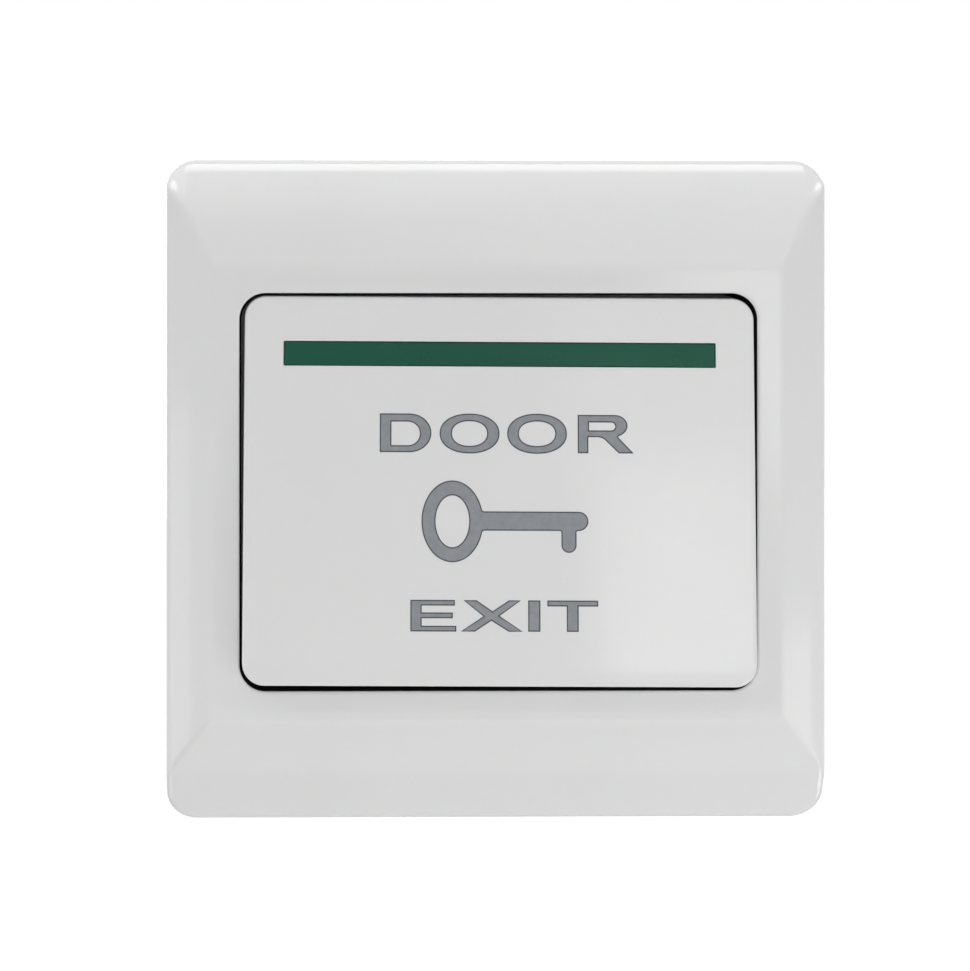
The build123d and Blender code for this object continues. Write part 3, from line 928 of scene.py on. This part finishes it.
@dataclass
class PushPlate:
    """The hinged cap with its marker strip."""

    plane: LeaningPlane = field(default_factory=LeaningPlane)
    half_u: float = 32.6
    half_v: float = 24.75
    corner_r: float = 2.85
    least_r: float = 0.3
    face_w: float = 4.8
    skirt: float = 6.0
    wall: float = 1.8
    face_wall: float = 2.0
    draft: float = 0.6
    edge_r: float = 0.55
    edge_steps: int = 8
    foot_edge: float = 0.1
    strip: Flat = (55.0, 3.04)
    strip_v: float = 17.3
    strip_play: float = 0.07
    strip_deep: float = 1.05
    strip_sink: float = 0.06
    strip_edge_r: float = 0.16
    strip_edge_points: int = 6
    strip_corner_r: float = 0.2
    recess_corner_r: float = 0.12
    pin_r: float = 1.4
    pin_tip: float = 28.0
    pin_lead: tuple[float, float] = (0.07, 0.2)  # the tip's cone: its share of the pin, its depth
    pin_points: int = 36
    pad_r: float = 4.0
    pad_w: float = 1.6
    pad_v: float = -26.0
    rib: float = 1.2
    rib_rise: float = 1.4
    rib_sunk: float = 0.3  # each end of a rib runs this far into the skirt
    rib_u: float = 24.6
    rib_v: float = -12.0
    stop: Flat = (11.0, -38.5)
    stop_size: Flat = (5.0, 1.4)
    stop_foot: float = 0.7
    hook: Flat = (20.0, -36.0)
    hook_size: Flat = (5.0, 1.2)
    hook_foot: float = -3.05
    catch_drop: float = 1.45
    catch_size: Flat = (4.9, 1.7)
    catch_top: float = -1.75
    catch_bevel: float = 0.3

    def ring(self, inset: float) -> np.ndarray:
        """A loop of the cap's outline, drawn in by an inset."""
        radius = max(self.corner_r - inset, self.least_r)
        return outline(self.half_u - inset, self.half_v - inset, radius, side=30, corner=14)

    def build_shell(self, skin: Skin) -> None:
        """Add the face, its rounded edge, the drafted skirt, the hollow and the strip's recess.

        Args:
            skin: The skin that gets them.
        """
        foot, inner_w = self.face_w - self.skirt, self.face_w - self.face_wall
        slant, shoulder = tan(radians(self.draft)), self.skirt - self.edge_r
        rows = [(self.wall, inner_w), (self.wall, foot), (self.foot_edge, foot),
                (0.0, foot + self.foot_edge)]
        rows += [(shoulder * share * slant, foot + shoulder * share) for share in (0.5, 1.0)]
        for k in range(1, self.edge_steps + 1):
            turn = QUARTER * k / self.edge_steps
            rows.append((shoulder * slant + self.edge_r * (1 - cos(turn)),
                         self.face_w - self.edge_r * (1 - sin(turn))))
        loops = [skin.loop(self.ring(inset), w) for inset, w in rows]
        skin.chain(loops)
        skin.cap(loops[0])
        half_u, half_v = (size / 2 + self.strip_play for size in self.strip)
        hole = outline(half_u, half_v, self.recess_corner_r, side=20, corner=3)
        hole += np.array([0.0, self.strip_v])
        top = skin.loop(hole, self.face_w)
        floor = skin.loop(hole, self.face_w - self.strip_deep)
        skin.sheet([loops[-1], top])
        skin.join(top, floor)
        skin.cap(floor)

    def build_inside(self, skin: Skin) -> None:
        """Add the pad over the plunger, the ribs, the stops and the hooks.

        Args:
            skin: The skin that gets them.
        """
        inner_w = self.face_w - self.face_wall
        root, rib_foot = inner_w + self.face_wall / 2, inner_w - self.rib_rise
        across, up = (2 * (half - self.wall + self.rib_sunk) for half in (self.half_u, self.half_v))
        skin.turned((0.0, self.pad_v), [(self.pad_r, self.pad_w), (self.pad_r, root)], steps=48)
        for side in (-1, 1):
            skin.block((side * self.rib_u, self.plane.face_v), (self.rib, up), rib_foot, root)
            skin.block((side * self.stop[0], self.stop[1]), self.stop_size, self.stop_foot, root)
        skin.block((0.0, self.rib_v), (across, self.rib), rib_foot, root)
        for side in (-1, 1):
            u, v = side * self.hook[0], self.hook[1]
            skin.block((u, v), self.hook_size, self.hook_foot, root)
            skin.block((u, v - self.catch_drop), self.catch_size, self.hook_foot, self.catch_top,
                       self.catch_bevel)

    def build_pins(self, skin: Skin) -> None:
        """Add the two hinge pins, which run in the wall plate's ears.

        Args:
            skin: The skin that gets them.
        """
        reach = self.half_u - self.wall / 2
        lead, taper = self.pin_lead
        turns = [FULL * k / self.pin_points for k in range(self.pin_points)]
        for side in (-1, 1):
            loops = []
            for share, r in ((0.0, self.pin_r - taper), (lead, self.pin_r), (1.0, self.pin_r)):
                u = side * (self.pin_tip + (reach - self.pin_tip) * share)
                points = [self.plane.square(u, r * cos(t), r * sin(t)) for t in turns]
                loops.append(skin.add(points))
            skin.chain(loops)
            skin.cap(loops[0])
            skin.cap(loops[-1], flip=True)

    def build_strip(self, green: Material) -> None:
        """Make the green strip and let it stand for its CAD node.

        Args:
            green: The strip's material.
        """
        skin = Skin(self.plane.turned)
        top, edge = self.face_w - self.strip_sink, self.strip_edge_r
        levels = [(self.face_w - self.strip_deep, 0.0)]
        for turn in np.linspace(0, QUARTER, self.strip_edge_points):
            levels.append((top - edge * (1 - sin(turn)), edge * (1 - cos(turn))))
        loops = []
        for height, inset in levels:
            half_u, half_v = (size / 2 - inset for size in self.strip)
            flat = outline(half_u, half_v, self.strip_corner_r, corner=5)
            loops.append(skin.loop(flat + np.array([0.0, self.strip_v]), height))
        skin.chain(loops)
        skin.cap(loops[0])
        skin.cap(loops[-1])
        piece = skin.build("green_strip", green, Body.BUTTON, Slot.GREEN)
        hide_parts("marker_strip")

    def build(self, finish: Material, green: Material) -> None:
        """Make the cap and the strip, and let them stand for their CAD nodes.

        Args:
            finish: The cap's material.
            green: The strip's material.
        """
        skin = Skin(self.plane.turned)
        self.build_shell(skin)
        skin.place = self.plane.square
        self.build_inside(skin)
        self.build_pins(skin)
        cap = skin.build("push_plate", finish, Body.BUTTON, Slot.GLOSS_WHITE)
        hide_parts("button_cap")
        self.build_strip(green)


# Lettering


@dataclass
class Glyph:
    """One mark: an outer outline, anticlockwise, and its holes, clockwise, in the face's plane."""

    name: str
    outer: list[Flat]
    holes: list[list[Flat]] = field(default_factory=list)

    def drawn_in(self, inset: float) -> list[np.ndarray]:
        """The outer outline and the holes, with each edge moved into the material."""
        return [self.moved(ring, inset) for ring in (self.outer, *self.holes)]

    @staticmethod
    def moved(ring: Sequence[Flat], inset: float) -> np.ndarray:
        """Move each edge of a ring to its left.

        Args:
            ring: The ring's points.
            inset: How far the edges move.

        Returns:
            The new points.
        """
        points = np.array(ring, float)
        points = points[np.linalg.norm(points - np.roll(points, 1, axis=0), axis=1) > SAME]
        along = np.roll(points, -1, axis=0) - points
        along /= np.linalg.norm(along, axis=1)[:, None]
        left = np.stack([-along[:, 1], along[:, 0]], axis=1)
        both = left + np.roll(left, 1, axis=0)
        sharpest = 0.6  # keeps the points of sharp corners from running away
        scale = 2 / np.clip((both**2).sum(axis=1), sharpest, None)
        return points + both * scale[:, None] * inset


def squared_ring(middle: Flat, reach: Flat, power: float, steps: int = 64) -> list[Flat]:
    """Points of an oval that is a little squarer than an ellipse.

    Args:
        middle: Its middle.
        reach: Its reach across and up.
        power: 2 for an ellipse, more for a squarer one.
        steps: The number of points.

    Returns:
        The points, anticlockwise.
    """
    rows = []
    for k in range(steps):
        c, s = cos(FULL * k / steps), sin(FULL * k / steps)
        grow = (abs(c) ** power + abs(s) ** power) ** (-1 / power)
        rows.append((middle[0] + reach[0] * c * grow, middle[1] + reach[1] * s * grow))
    return rows


@dataclass
class Lettering:
    """The words and the key sign on the push plate."""

    plane: LeaningPlane
    face_w: float = 4.8
    rim: float = 0.11
    spread: float = 0.045
    proud: float = 0.02
    deep: float = 0.15
    powers: Flat = (2.15, 2.2)  # how square an O is, outside and inside

    def round_letter(self, name: str, low: Flat, high: Flat, side: float, bar: float) -> Glyph:
        """Draw an O.

        Args:
            name: The mark's name.
            low: Its left end and foot.
            high: Its right end and top.
            side: Width of the strokes at the sides.
            bar: Width of the strokes above and below.

        Returns:
            The mark.
        """
        middle = ((low[0] + high[0]) / 2, (low[1] + high[1]) / 2)
        reach = ((high[0] - low[0]) / 2, (high[1] - low[1]) / 2)
        outside, inside = self.powers
        counter = squared_ring(middle, (reach[0] - side, reach[1] - bar), inside)
        return Glyph(name, squared_ring(middle, reach, outside), [counter[::-1]])

    def door(self) -> list[Glyph]:
        """The letters of the upper word.

        Returns:
            The marks, left to right.
        """
        d_outer = [(-15.24, 9.65), (-15.24, 4.82), *arc((-11.5, 7.235), (2.73, 2.415), -90, 90, 20)]
        d_hole = [(-13.85, 5.62), (-13.85, 8.7), *arc((-11.7, 7.16), (1.56, 1.54), 90, -90, 16)]
        r_outer = [
            (11.18, 4.8), (11.18, 6.85), *bend((12.3, 6.85), (12.95, 6.85), (13.4, 6.48)),
            (15.12, 4.8), (16.9, 4.8), *bend((15.05, 6.72), (14.86, 6.9), (15.12, 6.98), 3),
            *arc((14.6, 8.27), (1.58, 1.32), -62, 90, 14), (9.92, 9.58), (9.92, 4.8),
        ]
        r_hole = [(11.28, 7.62), (11.28, 8.72), *arc((14.16, 8.17), (0.55, 0.55), 90, -90, 10)]
        return [
            Glyph("door_d", d_outer, [d_hole]),
            self.round_letter("door_o1", (-7.64, 4.7), (-0.12, 9.68), 1.49, 0.88),
            self.round_letter("door_o2", (0.95, 4.7), (8.46, 9.7), 1.4, 0.9),
            Glyph("door_r", r_outer, [r_hole]),
        ]

    def exit(self) -> list[Glyph]:
        """The letters of the lower word.

        Returns:
            The marks, left to right.
        """
        e = [(-11.32, -13.88), (-11.32, -17.76), (-5.6, -17.76), (-5.6, -17.13), (-9.97, -17.13),
             (-9.97, -16.09), (-6.04, -16.09), (-6.04, -15.46), (-9.97, -15.46), (-9.97, -14.51),
             (-5.78, -14.51), (-5.78, -13.88)]
        x = [(-4.56, -13.9), (-2.07, -15.88), (-4.91, -17.76), (-3.22, -17.76), (-1.12, -16.38),
             (1.06, -17.76), (2.75, -17.76), (-0.16, -15.83), (2.53, -13.9), (1.11, -13.9),
             (-0.98, -15.29), (-3.0, -13.9)]
        i = [(3.56, -13.9), (3.56, -17.74), (5.02, -17.74), (5.02, -13.9)]
        t = [(6.0, -13.9), (6.0, -14.56), (8.45, -14.56), (8.45, -17.74), (9.86, -17.74),
             (9.86, -14.56), (12.33, -14.56), (12.33, -13.9)]
        return [Glyph("exit_e", e), Glyph("exit_x", x), Glyph("exit_i", i), Glyph("exit_t", t)]

    def key(self) -> Glyph:
        """The key sign: an oval bow, a shaft with a round end and one tooth.

        Returns:
            The mark.
        """
        bow = (-6.06, -3.94)
        top, low = -2.71, -5.05
        outer = arc(bow, (3.87, 5.12), 17, 343, 72)
        outer += bend(outer[-1], (-2.35, low), (-1.9, low))
        outer += [*bend((7.5, low), (7.8, low), (7.8, low - 0.3)),
                  *arc((8.715, -6.9), (0.915, 0.915), 180, 360, 14),
                  *bend((9.63, low - 0.25), (9.63, low), (9.9, low)),
                  *arc((9.97, (top + low) / 2), (1.17, 1.17), -88, 90, 16)]
        outer += bend((-1.9, top), (-2.35, top), outer[0])
        return Glyph("key_sign", outer, [arc(bow, (2.18, 3.32), 360, 5, 60)])

    def solid(self, glyph: Glyph, inset: float, top: float, name: str, finish: Material) -> None:
        """Make one closed layer of a mark.

        Args:
            glyph: The mark.
            inset: How far its edges are drawn in.
            top: How far it stands out of the face.
            name: The piece's name.
            finish: Its material.
        """
        skin = Skin(self.plane.turned)
        rings = glyph.drawn_in(inset)
        high = [skin.loop(ring, self.face_w + top) for ring in rings]
        low = [skin.loop(ring, self.face_w - self.deep) for ring in rings]
        skin.sheet(high)
        skin.sheet(low, flip=True)
        for a, b in zip(high, low):
            skin.join(a, b)
        skin.build(name, finish, Body.BUTTON, Slot.ACETAL)

    def build(self, fill: Material, rim: Material) -> None:
        """Make each mark as a dark outline with a lighter fill over it; the outline is painted
        shade that stands in for the shadow on the engraved letters' walls.

        Args:
            fill: The paint of the fill.
            rim: The outline's near-black colour, painted shade for the shadow on the letters'
                walls.
        """
        for glyph in [*self.door(), self.key(), *self.exit()]:
            # Painted shade: the dark outline under each mark stands in for the shadow along its
            # engraved walls.
            self.solid(glyph, -self.spread, self.proud / 2, f"{glyph.name}_rim", rim)
            self.solid(glyph, self.rim, self.proud, f"{glyph.name}_fill", fill)


# Contact block and wall plate


@dataclass
class CoilSpring:
    """A round-wire compression spring with closed ends, along Y."""

    name: str
    node: str
    body: Body
    middle: Flat
    coil_r: float
    wire_r: float
    turns: float
    low: float
    high: float
    closed: float = 0.8  # turns at each end that lie close
    creep: float = 1.9  # rise of a close turn, in wire radii
    turn_points: int = 40
    wire_points: int = 12

    def level(self, share: float) -> float:
        """Height of the wire's middle.

        Args:
            share: How far along the wire, from 0 to 1.

        Returns:
            The height.
        """
        flat, step = self.closed / self.turns, self.creep * self.wire_r
        rise = min(max((share - flat) / (1 - 2 * flat), 0.0), 1.0)
        creep = step * self.turns * (min(share, flat) + max(share - 1 + flat, 0.0))
        span = self.high - self.low - 2 * self.wire_r
        return self.low + self.wire_r + (span - 2 * self.closed * step) * rise + creep

    def build(self, finish: Material) -> Thing:
        """Make the spring and let it stand for its CAD node.

        Args:
            finish: The wire's material.

        Returns:
            The spring.
        """
        skin = Skin()
        steps = int(self.turns * self.turn_points)
        rings = []
        for k in range(steps + 1):
            turn, height = FULL * self.turns * k / steps, self.level(k / steps)
            points = []
            for j in range(self.wire_points):
                spin = FULL * j / self.wire_points
                radius = self.coil_r + self.wire_r * cos(spin)
                points.append((self.middle[0] + radius * cos(turn),
                               -(height + self.wire_r * sin(spin)),
                               self.middle[1] + radius * sin(turn)))
            rings.append(skin.add(points))
        skin.close(rings)
        piece = skin.build(self.name, finish, self.body, Slot.SPRING)
        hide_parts(self.node)
        return piece


@dataclass
class SlottedScrews:
    """A pair of threaded screws with rounded, slotted heads."""

    name: str
    node: str
    places: list[Flat]
    seat: float
    out: int
    head_r: float
    head: float
    shank_r: float
    length: float
    pitch: float = 0.5
    slot: float = 0.55
    slot_turn: float = 25.0
    next_turn: float = 70.0  # the second slot stands this much further round
    slot_depth: float = 0.5  # share of the head
    tip_r: float = 0.55  # this and the next three are shares of the shank's radius
    root_r: float = 0.86
    neck_r: float = 0.9
    tip_rise: float = 0.4
    neck: float = 0.15
    thread_end: float = 0.6
    flank: Flat = (0.2, 0.6)  # where a thread's flank starts and ends, in shares of the pitch
    head_edge: float = 0.1
    dome: Flat = (0.45, 0.4)  # how far it draws in, in shares of the head and of its radius
    dome_steps: int = 6
    slot_bevel: float = 0.02
    over_cut: float = 1.0  # the slot's cutter runs this far past the head

    def profile(self) -> list[Flat]:
        """Radii and heights of one screw.

        Returns:
            The pairs, from the tip to the head's top.
        """
        root, neck = self.shank_r * self.root_r, self.shank_r * self.neck_r
        foot = -self.length + self.shank_r * self.tip_rise
        rows = [(self.shank_r * self.tip_r, -self.length), (root, foot)]
        for k in range(int((self.length - self.thread_end) / self.pitch)):
            low, high = (foot + k * self.pitch + self.pitch * share for share in self.flank)
            rows += [(root, low), (self.shank_r, high)]
        rows += [(neck, -self.neck), (neck, 0.0), (self.head_r - self.head_edge, 0.0),
                 (self.head_r, self.head_edge)]
        across, inwards = self.dome[0] * self.head, self.dome[1] * self.head_r
        for k in range(self.dome_steps + 1):
            share = k / self.dome_steps
            turn = QUARTER * share
            inset = across * (1 - cos(turn)) + inwards * share**3
            rows.append((self.head_r - inset, self.head * (1 + sin(turn)) / 2))
        return rows

    def cutter(self, place: Flat, turn: float) -> Skin:
        """Make the form that cuts the slot into one head.

        Args:
            place: The screw's (x, z) place.
            turn: The slot's angle in radians.

        Returns:
            The closed form.
        """
        def across_head(a: float, b: float, h: float) -> Point:
            """Turn a point about the screw's axis."""
            x, z = a * cos(turn) - b * sin(turn), a * sin(turn) + b * cos(turn)
            return (place[0] + x, -h, place[1] + z)

        skin = Skin(across_head)
        top, past = self.seat + self.out * self.head, self.over_cut
        ends = sorted([top - self.out * self.head * self.slot_depth, top + self.out * past])
        skin.block((0.0, 0.0), (2 * self.head_r + past, self.slot), *ends, self.slot_bevel)
        return skin

    def build(self, finish: Material) -> None:
        """Make both screws and let them stand for their CAD node.

        Args:
            finish: Their material.
        """
        skin = Skin()
        for place in self.places:
            rows = [(r, self.seat + self.out * h) for r, h in self.profile()]
            skin.turned(place, rows, steps=36)
        piece = skin.build(self.name, finish, Body.BASE, Slot.ZINC)
        carve(piece, [
            self.cutter(place, radians(self.slot_turn + self.next_turn * number))
            for number, place in enumerate(self.places)
        ])
        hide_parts(self.node)


@dataclass
class ContactBlock:
    """The wall plate and the switch block behind the push plate."""

    plunger: Flat = (0.0, -6.0)
    housing_rear: float = -10.0
    stem_end: float = -3.4
    flange_back: float = 0.7
    bridge_front: float = -1.6
    spring_play: float = 0.05
    travel: float = 2.042
    dressed: tuple[tuple[Slot, tuple[str, ...]], ...] = (
        (Slot.MATTE_WHITE, ("mounting_plate",)),
        (Slot.NYLON, ("contact_housing", "housing_cover")),
        (Slot.ACETAL, ("plunger",)),
        (Slot.SPRING, ("bridge_clip",)),
        (Slot.BRASS, ("contact_bridge", "terminal_common", "terminal_switched")),
        (Slot.SILVER, ("bridge_contacts", "fixed_contacts")),
        (Slot.ZINC, ("wire_clamps", "terminal_nuts")),
    )

    def springs(self) -> list[CoilSpring]:
        """The return spring and the contact pressure spring.

        Returns:
            Both springs.
        """
        play = self.spring_play
        return [
            CoilSpring("return_coil", "plunger_return_spring", Body.BASE, self.plunger,
                       coil_r=1.3, wire_r=0.17, turns=7.0,
                       low=self.housing_rear + play, high=self.stem_end - play),
            CoilSpring("pressure_coil", "bridge_spring", Body.PLUNGER, self.plunger,
                       coil_r=2.3, wire_r=0.2, turns=3.5,
                       low=self.bridge_front + play, high=self.flange_back - play),
        ]

    def screws(self) -> list[SlottedScrews]:
        """The screws of the housing, its cover and the terminals.

        Returns:
            A pair for each.
        """
        z = self.plunger[1]
        return [
            SlottedScrews("housing_fixings", "housing_screws", [(-14.0, z), (14.0, z)],
                          seat=5.0, out=1, head_r=2.2, head=1.3, shank_r=1.1, length=7.4),
            SlottedScrews("cover_fixings", "cover_screws", [(14.6, z + 6.1), (-14.6, z - 6.1)],
                          seat=-11.6, out=-1, head_r=1.6, head=1.0, shank_r=0.85, length=6.0,
                          pitch=0.4, slot=0.45),
            SlottedScrews("terminal_fixings", "terminal_screws", [(-21.4, z), (21.4, z)],
                          seat=-7.592, out=-1, head_r=2.6, head=1.5, shank_r=1.45, length=5.6,
                          pitch=0.6, slot=0.7, slot_turn=62.0),
        ]

    def build(self, finishes: dict[Slot, Material]) -> None:
        """Make the springs and screws, and dress the CAD nodes.

        Args:
            finishes: The material of each slot.
        """
        for spring in self.springs():
            piece = spring.build(finishes[Slot.SPRING])
            if spring.body is Body.BASE:
                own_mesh(piece)
        for screws in self.screws():
            screws.build(finishes[Slot.ZINC])
        for slot, nodes in self.dressed:
            for node in nodes:
                dress(node, finishes[slot])


# Studio


@dataclass(frozen=True)
class SoftBox:
    """One soft lamp: where it stands, how large and how strong it is. Places are in metres.

    A lamp with a lean stands square to the wall but for the lean, in degrees. One without is
    turned to the object.
    """

    name: str
    place: Point
    width: float
    height: float
    watts: float
    lean: float | None = None

    def build(self) -> None:
        """Make the lamp."""
        data = bpy.data.lights.new(self.name, "AREA")
        data.shape, data.size, data.size_y = "RECTANGLE", self.width, self.height
        data.energy = self.watts
        lamp = put(self.name, data)
        lamp.location = self.place
        if self.lean is None:
            lamp.rotation_mode = "QUATERNION"
            lamp.rotation_quaternion = (-Vector(self.place)).to_track_quat("-Z", "Y")
        else:
            lamp.rotation_euler = (QUARTER, radians(self.lean), 0.0)


def around(azimuth: float, elevation: float, away: float = 1.0) -> Point:
    """A place round the object.

    Args:
        azimuth: Degrees to the right of straight ahead.
        elevation: Degrees above the object.
        away: Distance in metres.

    Returns:
        The place.
    """
    turn, lift = radians(azimuth), radians(elevation)
    return (away * sin(turn) * cos(lift), -away * cos(turn) * cos(lift), away * sin(lift))


def ray_share(tree: bpy.types.NodeTree) -> Node:
    """Make a value of 1 for camera, glossy and transmission rays, and 0 for the rest.

    Args:
        tree: The node tree that gets the nodes.

    Returns:
        The node whose first output is the value.
    """
    path = add_node(tree, "LightPath")
    some, every = (add_node(tree, "Math") for _ in range(2))
    some.operation = every.operation = "MAXIMUM"
    tree.links.new(path.outputs["Is Camera Ray"], some.inputs[0])
    tree.links.new(path.outputs["Is Glossy Ray"], some.inputs[1])
    tree.links.new(some.outputs[0], every.inputs[0])
    tree.links.new(path.outputs["Is Transmission Ray"], every.inputs[1])
    return every


@dataclass
class Studio:
    """Camera, lamps, surroundings and floor, in metres."""

    camera_place: Point = (-0.024136, -0.28044, 0.016263)
    camera_yaw: float = 0.8
    lens: float = 78.974
    sensor: float = 36.0  # the lens and the sensor are in millimetres
    shift: Flat = (0.1499, -0.1244)
    near_clip: float = 0.01
    floor_z: float = -1.15
    floor_half: float = 20.0
    floor_tones: Flat = (0.86, 0.88)
    floor_scale: float = 1.5
    floor_rough: float = 0.8
    floor_glow: tuple[float, ...] = (2.0, 4.0, 0.2, 0.82)  # from and to which distance, strengths
    ambient: float = 0.25
    boxes: tuple[SoftBox, ...] = (
        SoftBox("square_box", (0.275, -1.0, 0.025), 0.17, 0.17, 0.185, lean=0.0),
        SoftBox("side_panel_low", (0.385, -1.0, 0.1), 0.43, 0.4, 0.281, lean=-8.0),
        SoftBox("side_panel_high", (0.41, -1.0, 0.575), 0.58, 0.55, 0.499, lean=-8.0),
        SoftBox("side_panel_mid", (0.38, -1.0, 0.53), 0.64, 0.26, 0.201, lean=-20.0),
        SoftBox("overhead_box", around(0, 82), 0.8, 0.4, 4.291),
        SoftBox("steep_front_box", around(0, 55), 1.0, 0.5, 0.588),
        SoftBox("upper_left_box", around(-75, 40), 1.0, 0.9, 3.3),
        SoftBox("upper_right_box", around(75, 40), 0.9, 0.8, 1.35),
        SoftBox("under_box", around(0, -49), 0.6, 0.45, 0.5),
        SoftBox("rear_box", around(180, 15), 0.9, 0.7, 4.5),
        SoftBox("near_front_box", around(0, -30, 0.35), 0.32, 0.2, 0.175),
        SoftBox("near_right_box", around(50, -25, 0.35), 0.26, 0.2, 0.245),
        SoftBox("near_left_edge_box", around(-75, -15, 0.35), 0.22, 0.2, 0.142),
        SoftBox("near_right_under_box", around(70, -50, 0.35), 0.15, 0.1, 0.154),
        SoftBox("near_left_under_box", around(-70, -50, 0.35), 0.15, 0.1, 0.089),
    )

    def build_camera(self) -> None:
        """Place the camera."""
        data = bpy.data.cameras.new("camera")
        data.lens, data.sensor_width = self.lens, self.sensor
        data.shift_x, data.shift_y = self.shift
        data.clip_start = self.near_clip
        camera = put("camera", data)
        camera.location = self.camera_place
        camera.rotation_euler = (QUARTER, 0.0, -radians(self.camera_yaw))
        bpy.context.scene.camera = camera

    def build_world(self) -> None:
        """Light the object evenly, and show plain white to the camera and in reflections."""
        world = bpy.data.worlds.new("surroundings")
        bpy.context.scene.world = world
        world.use_nodes = True
        tree = world.node_tree
        tree.nodes.clear()
        output = add_node(tree, "OutputWorld")
        seen = add_node(tree, "Background", {"Color": WHITE, "Strength": 1.0})
        soft = add_node(tree, "Background", {"Color": WHITE, "Strength": self.ambient})
        mix = add_node(tree, "MixShader")
        tree.links.new(ray_share(tree).outputs[0], mix.inputs["Fac"])
        tree.links.new(soft.outputs[0], mix.inputs[1])
        tree.links.new(seen.outputs[0], mix.inputs[2])
        tree.links.new(mix.outputs[0], output.inputs["Surface"])

    def floor_material(self) -> Material:
        """Make the floor's finish, which turns to white far away from the object.

        Returns:
            The material.
        """
        g = Graph("pale_floor")
        tones = zip((NOISE_LOW, NOISE_HIGH), self.floor_tones)
        stops = [(place, (tone, tone, tone)) for place, tone in tones]
        cloud = g.noise(self.floor_scale, detail=2.0)
        g.feed(g.ramp(cloud, stops), "Color", "Base Color")
        g.shader.inputs["Roughness"].default_value = self.floor_rough
        g.shader.inputs["Emission Color"].default_value = WHITE
        away = add_node(g.tree, "VectorMath")
        away.operation = "LENGTH"
        g.link(add_node(g.tree, "TexCoord"), "Object", away, "Vector")
        keys = ("From Min", "From Max", "To Min", "To Max")
        glow = add_node(g.tree, "MapRange", dict(zip(keys, self.floor_glow)))
        glow.interpolation_type = "SMOOTHSTEP"
        g.link(away, "Value", glow, "Value")
        lift = add_node(g.tree, "Math")
        lift.operation = "MULTIPLY"
        g.tree.links.new(ray_share(g.tree).outputs[0], lift.inputs[0])
        g.tree.links.new(glow.outputs["Result"], lift.inputs[1])
        g.feed(lift, "Value", "Emission Strength")
        return g.material

    def build_floor(self) -> None:
        """Lay a plain pale floor well under the object, which keeps its shadow."""
        mesh = bpy.data.meshes.new("floor")
        corners = ((-1, -1), (1, -1), (1, 1), (-1, 1))
        mesh.from_pydata(
            [(x * self.floor_half, y * self.floor_half, self.floor_z) for x, y in corners],
            [], [(0, 1, 2, 3)])
        mesh.materials.append(self.floor_material())
        floor = put("floor", mesh)

    def build(self) -> None:
        """Set the whole studio."""
        bpy.context.scene.view_settings.view_transform = "Standard"
        self.build_camera()
        self.build_world()
        self.build_floor()
        for box in self.boxes:
            box.build()


def main() -> None:
    """Build the object and its studio."""
    logging.basicConfig(level=logging.INFO, format="%(message)s")
    white = GLOSS_WHITE.material()
    TrimFrame().build(white, PAINTED_GAP_SHADE.material())
    plate = PushPlate()
    plate.build(white, GREEN_INSERT.material())
    Lettering(plate.plane).build(MARK_FILL.material(), MARK_RIM_PAINTED_SHADE.material())
    finishes = {
        Slot.ZINC: ZINC, Slot.SPRING: SPRING_WIRE, Slot.BRASS: BRASS, Slot.SILVER: SILVER,
        Slot.MATTE_WHITE: SATIN_WHITE, Slot.NYLON: IVORY_NYLON, Slot.ACETAL: GREY_ACETAL,
    }
    ContactBlock().build({slot: finish.material() for slot, finish in finishes.items()})
    Studio().build()


if __name__ == "__main__":
    main()
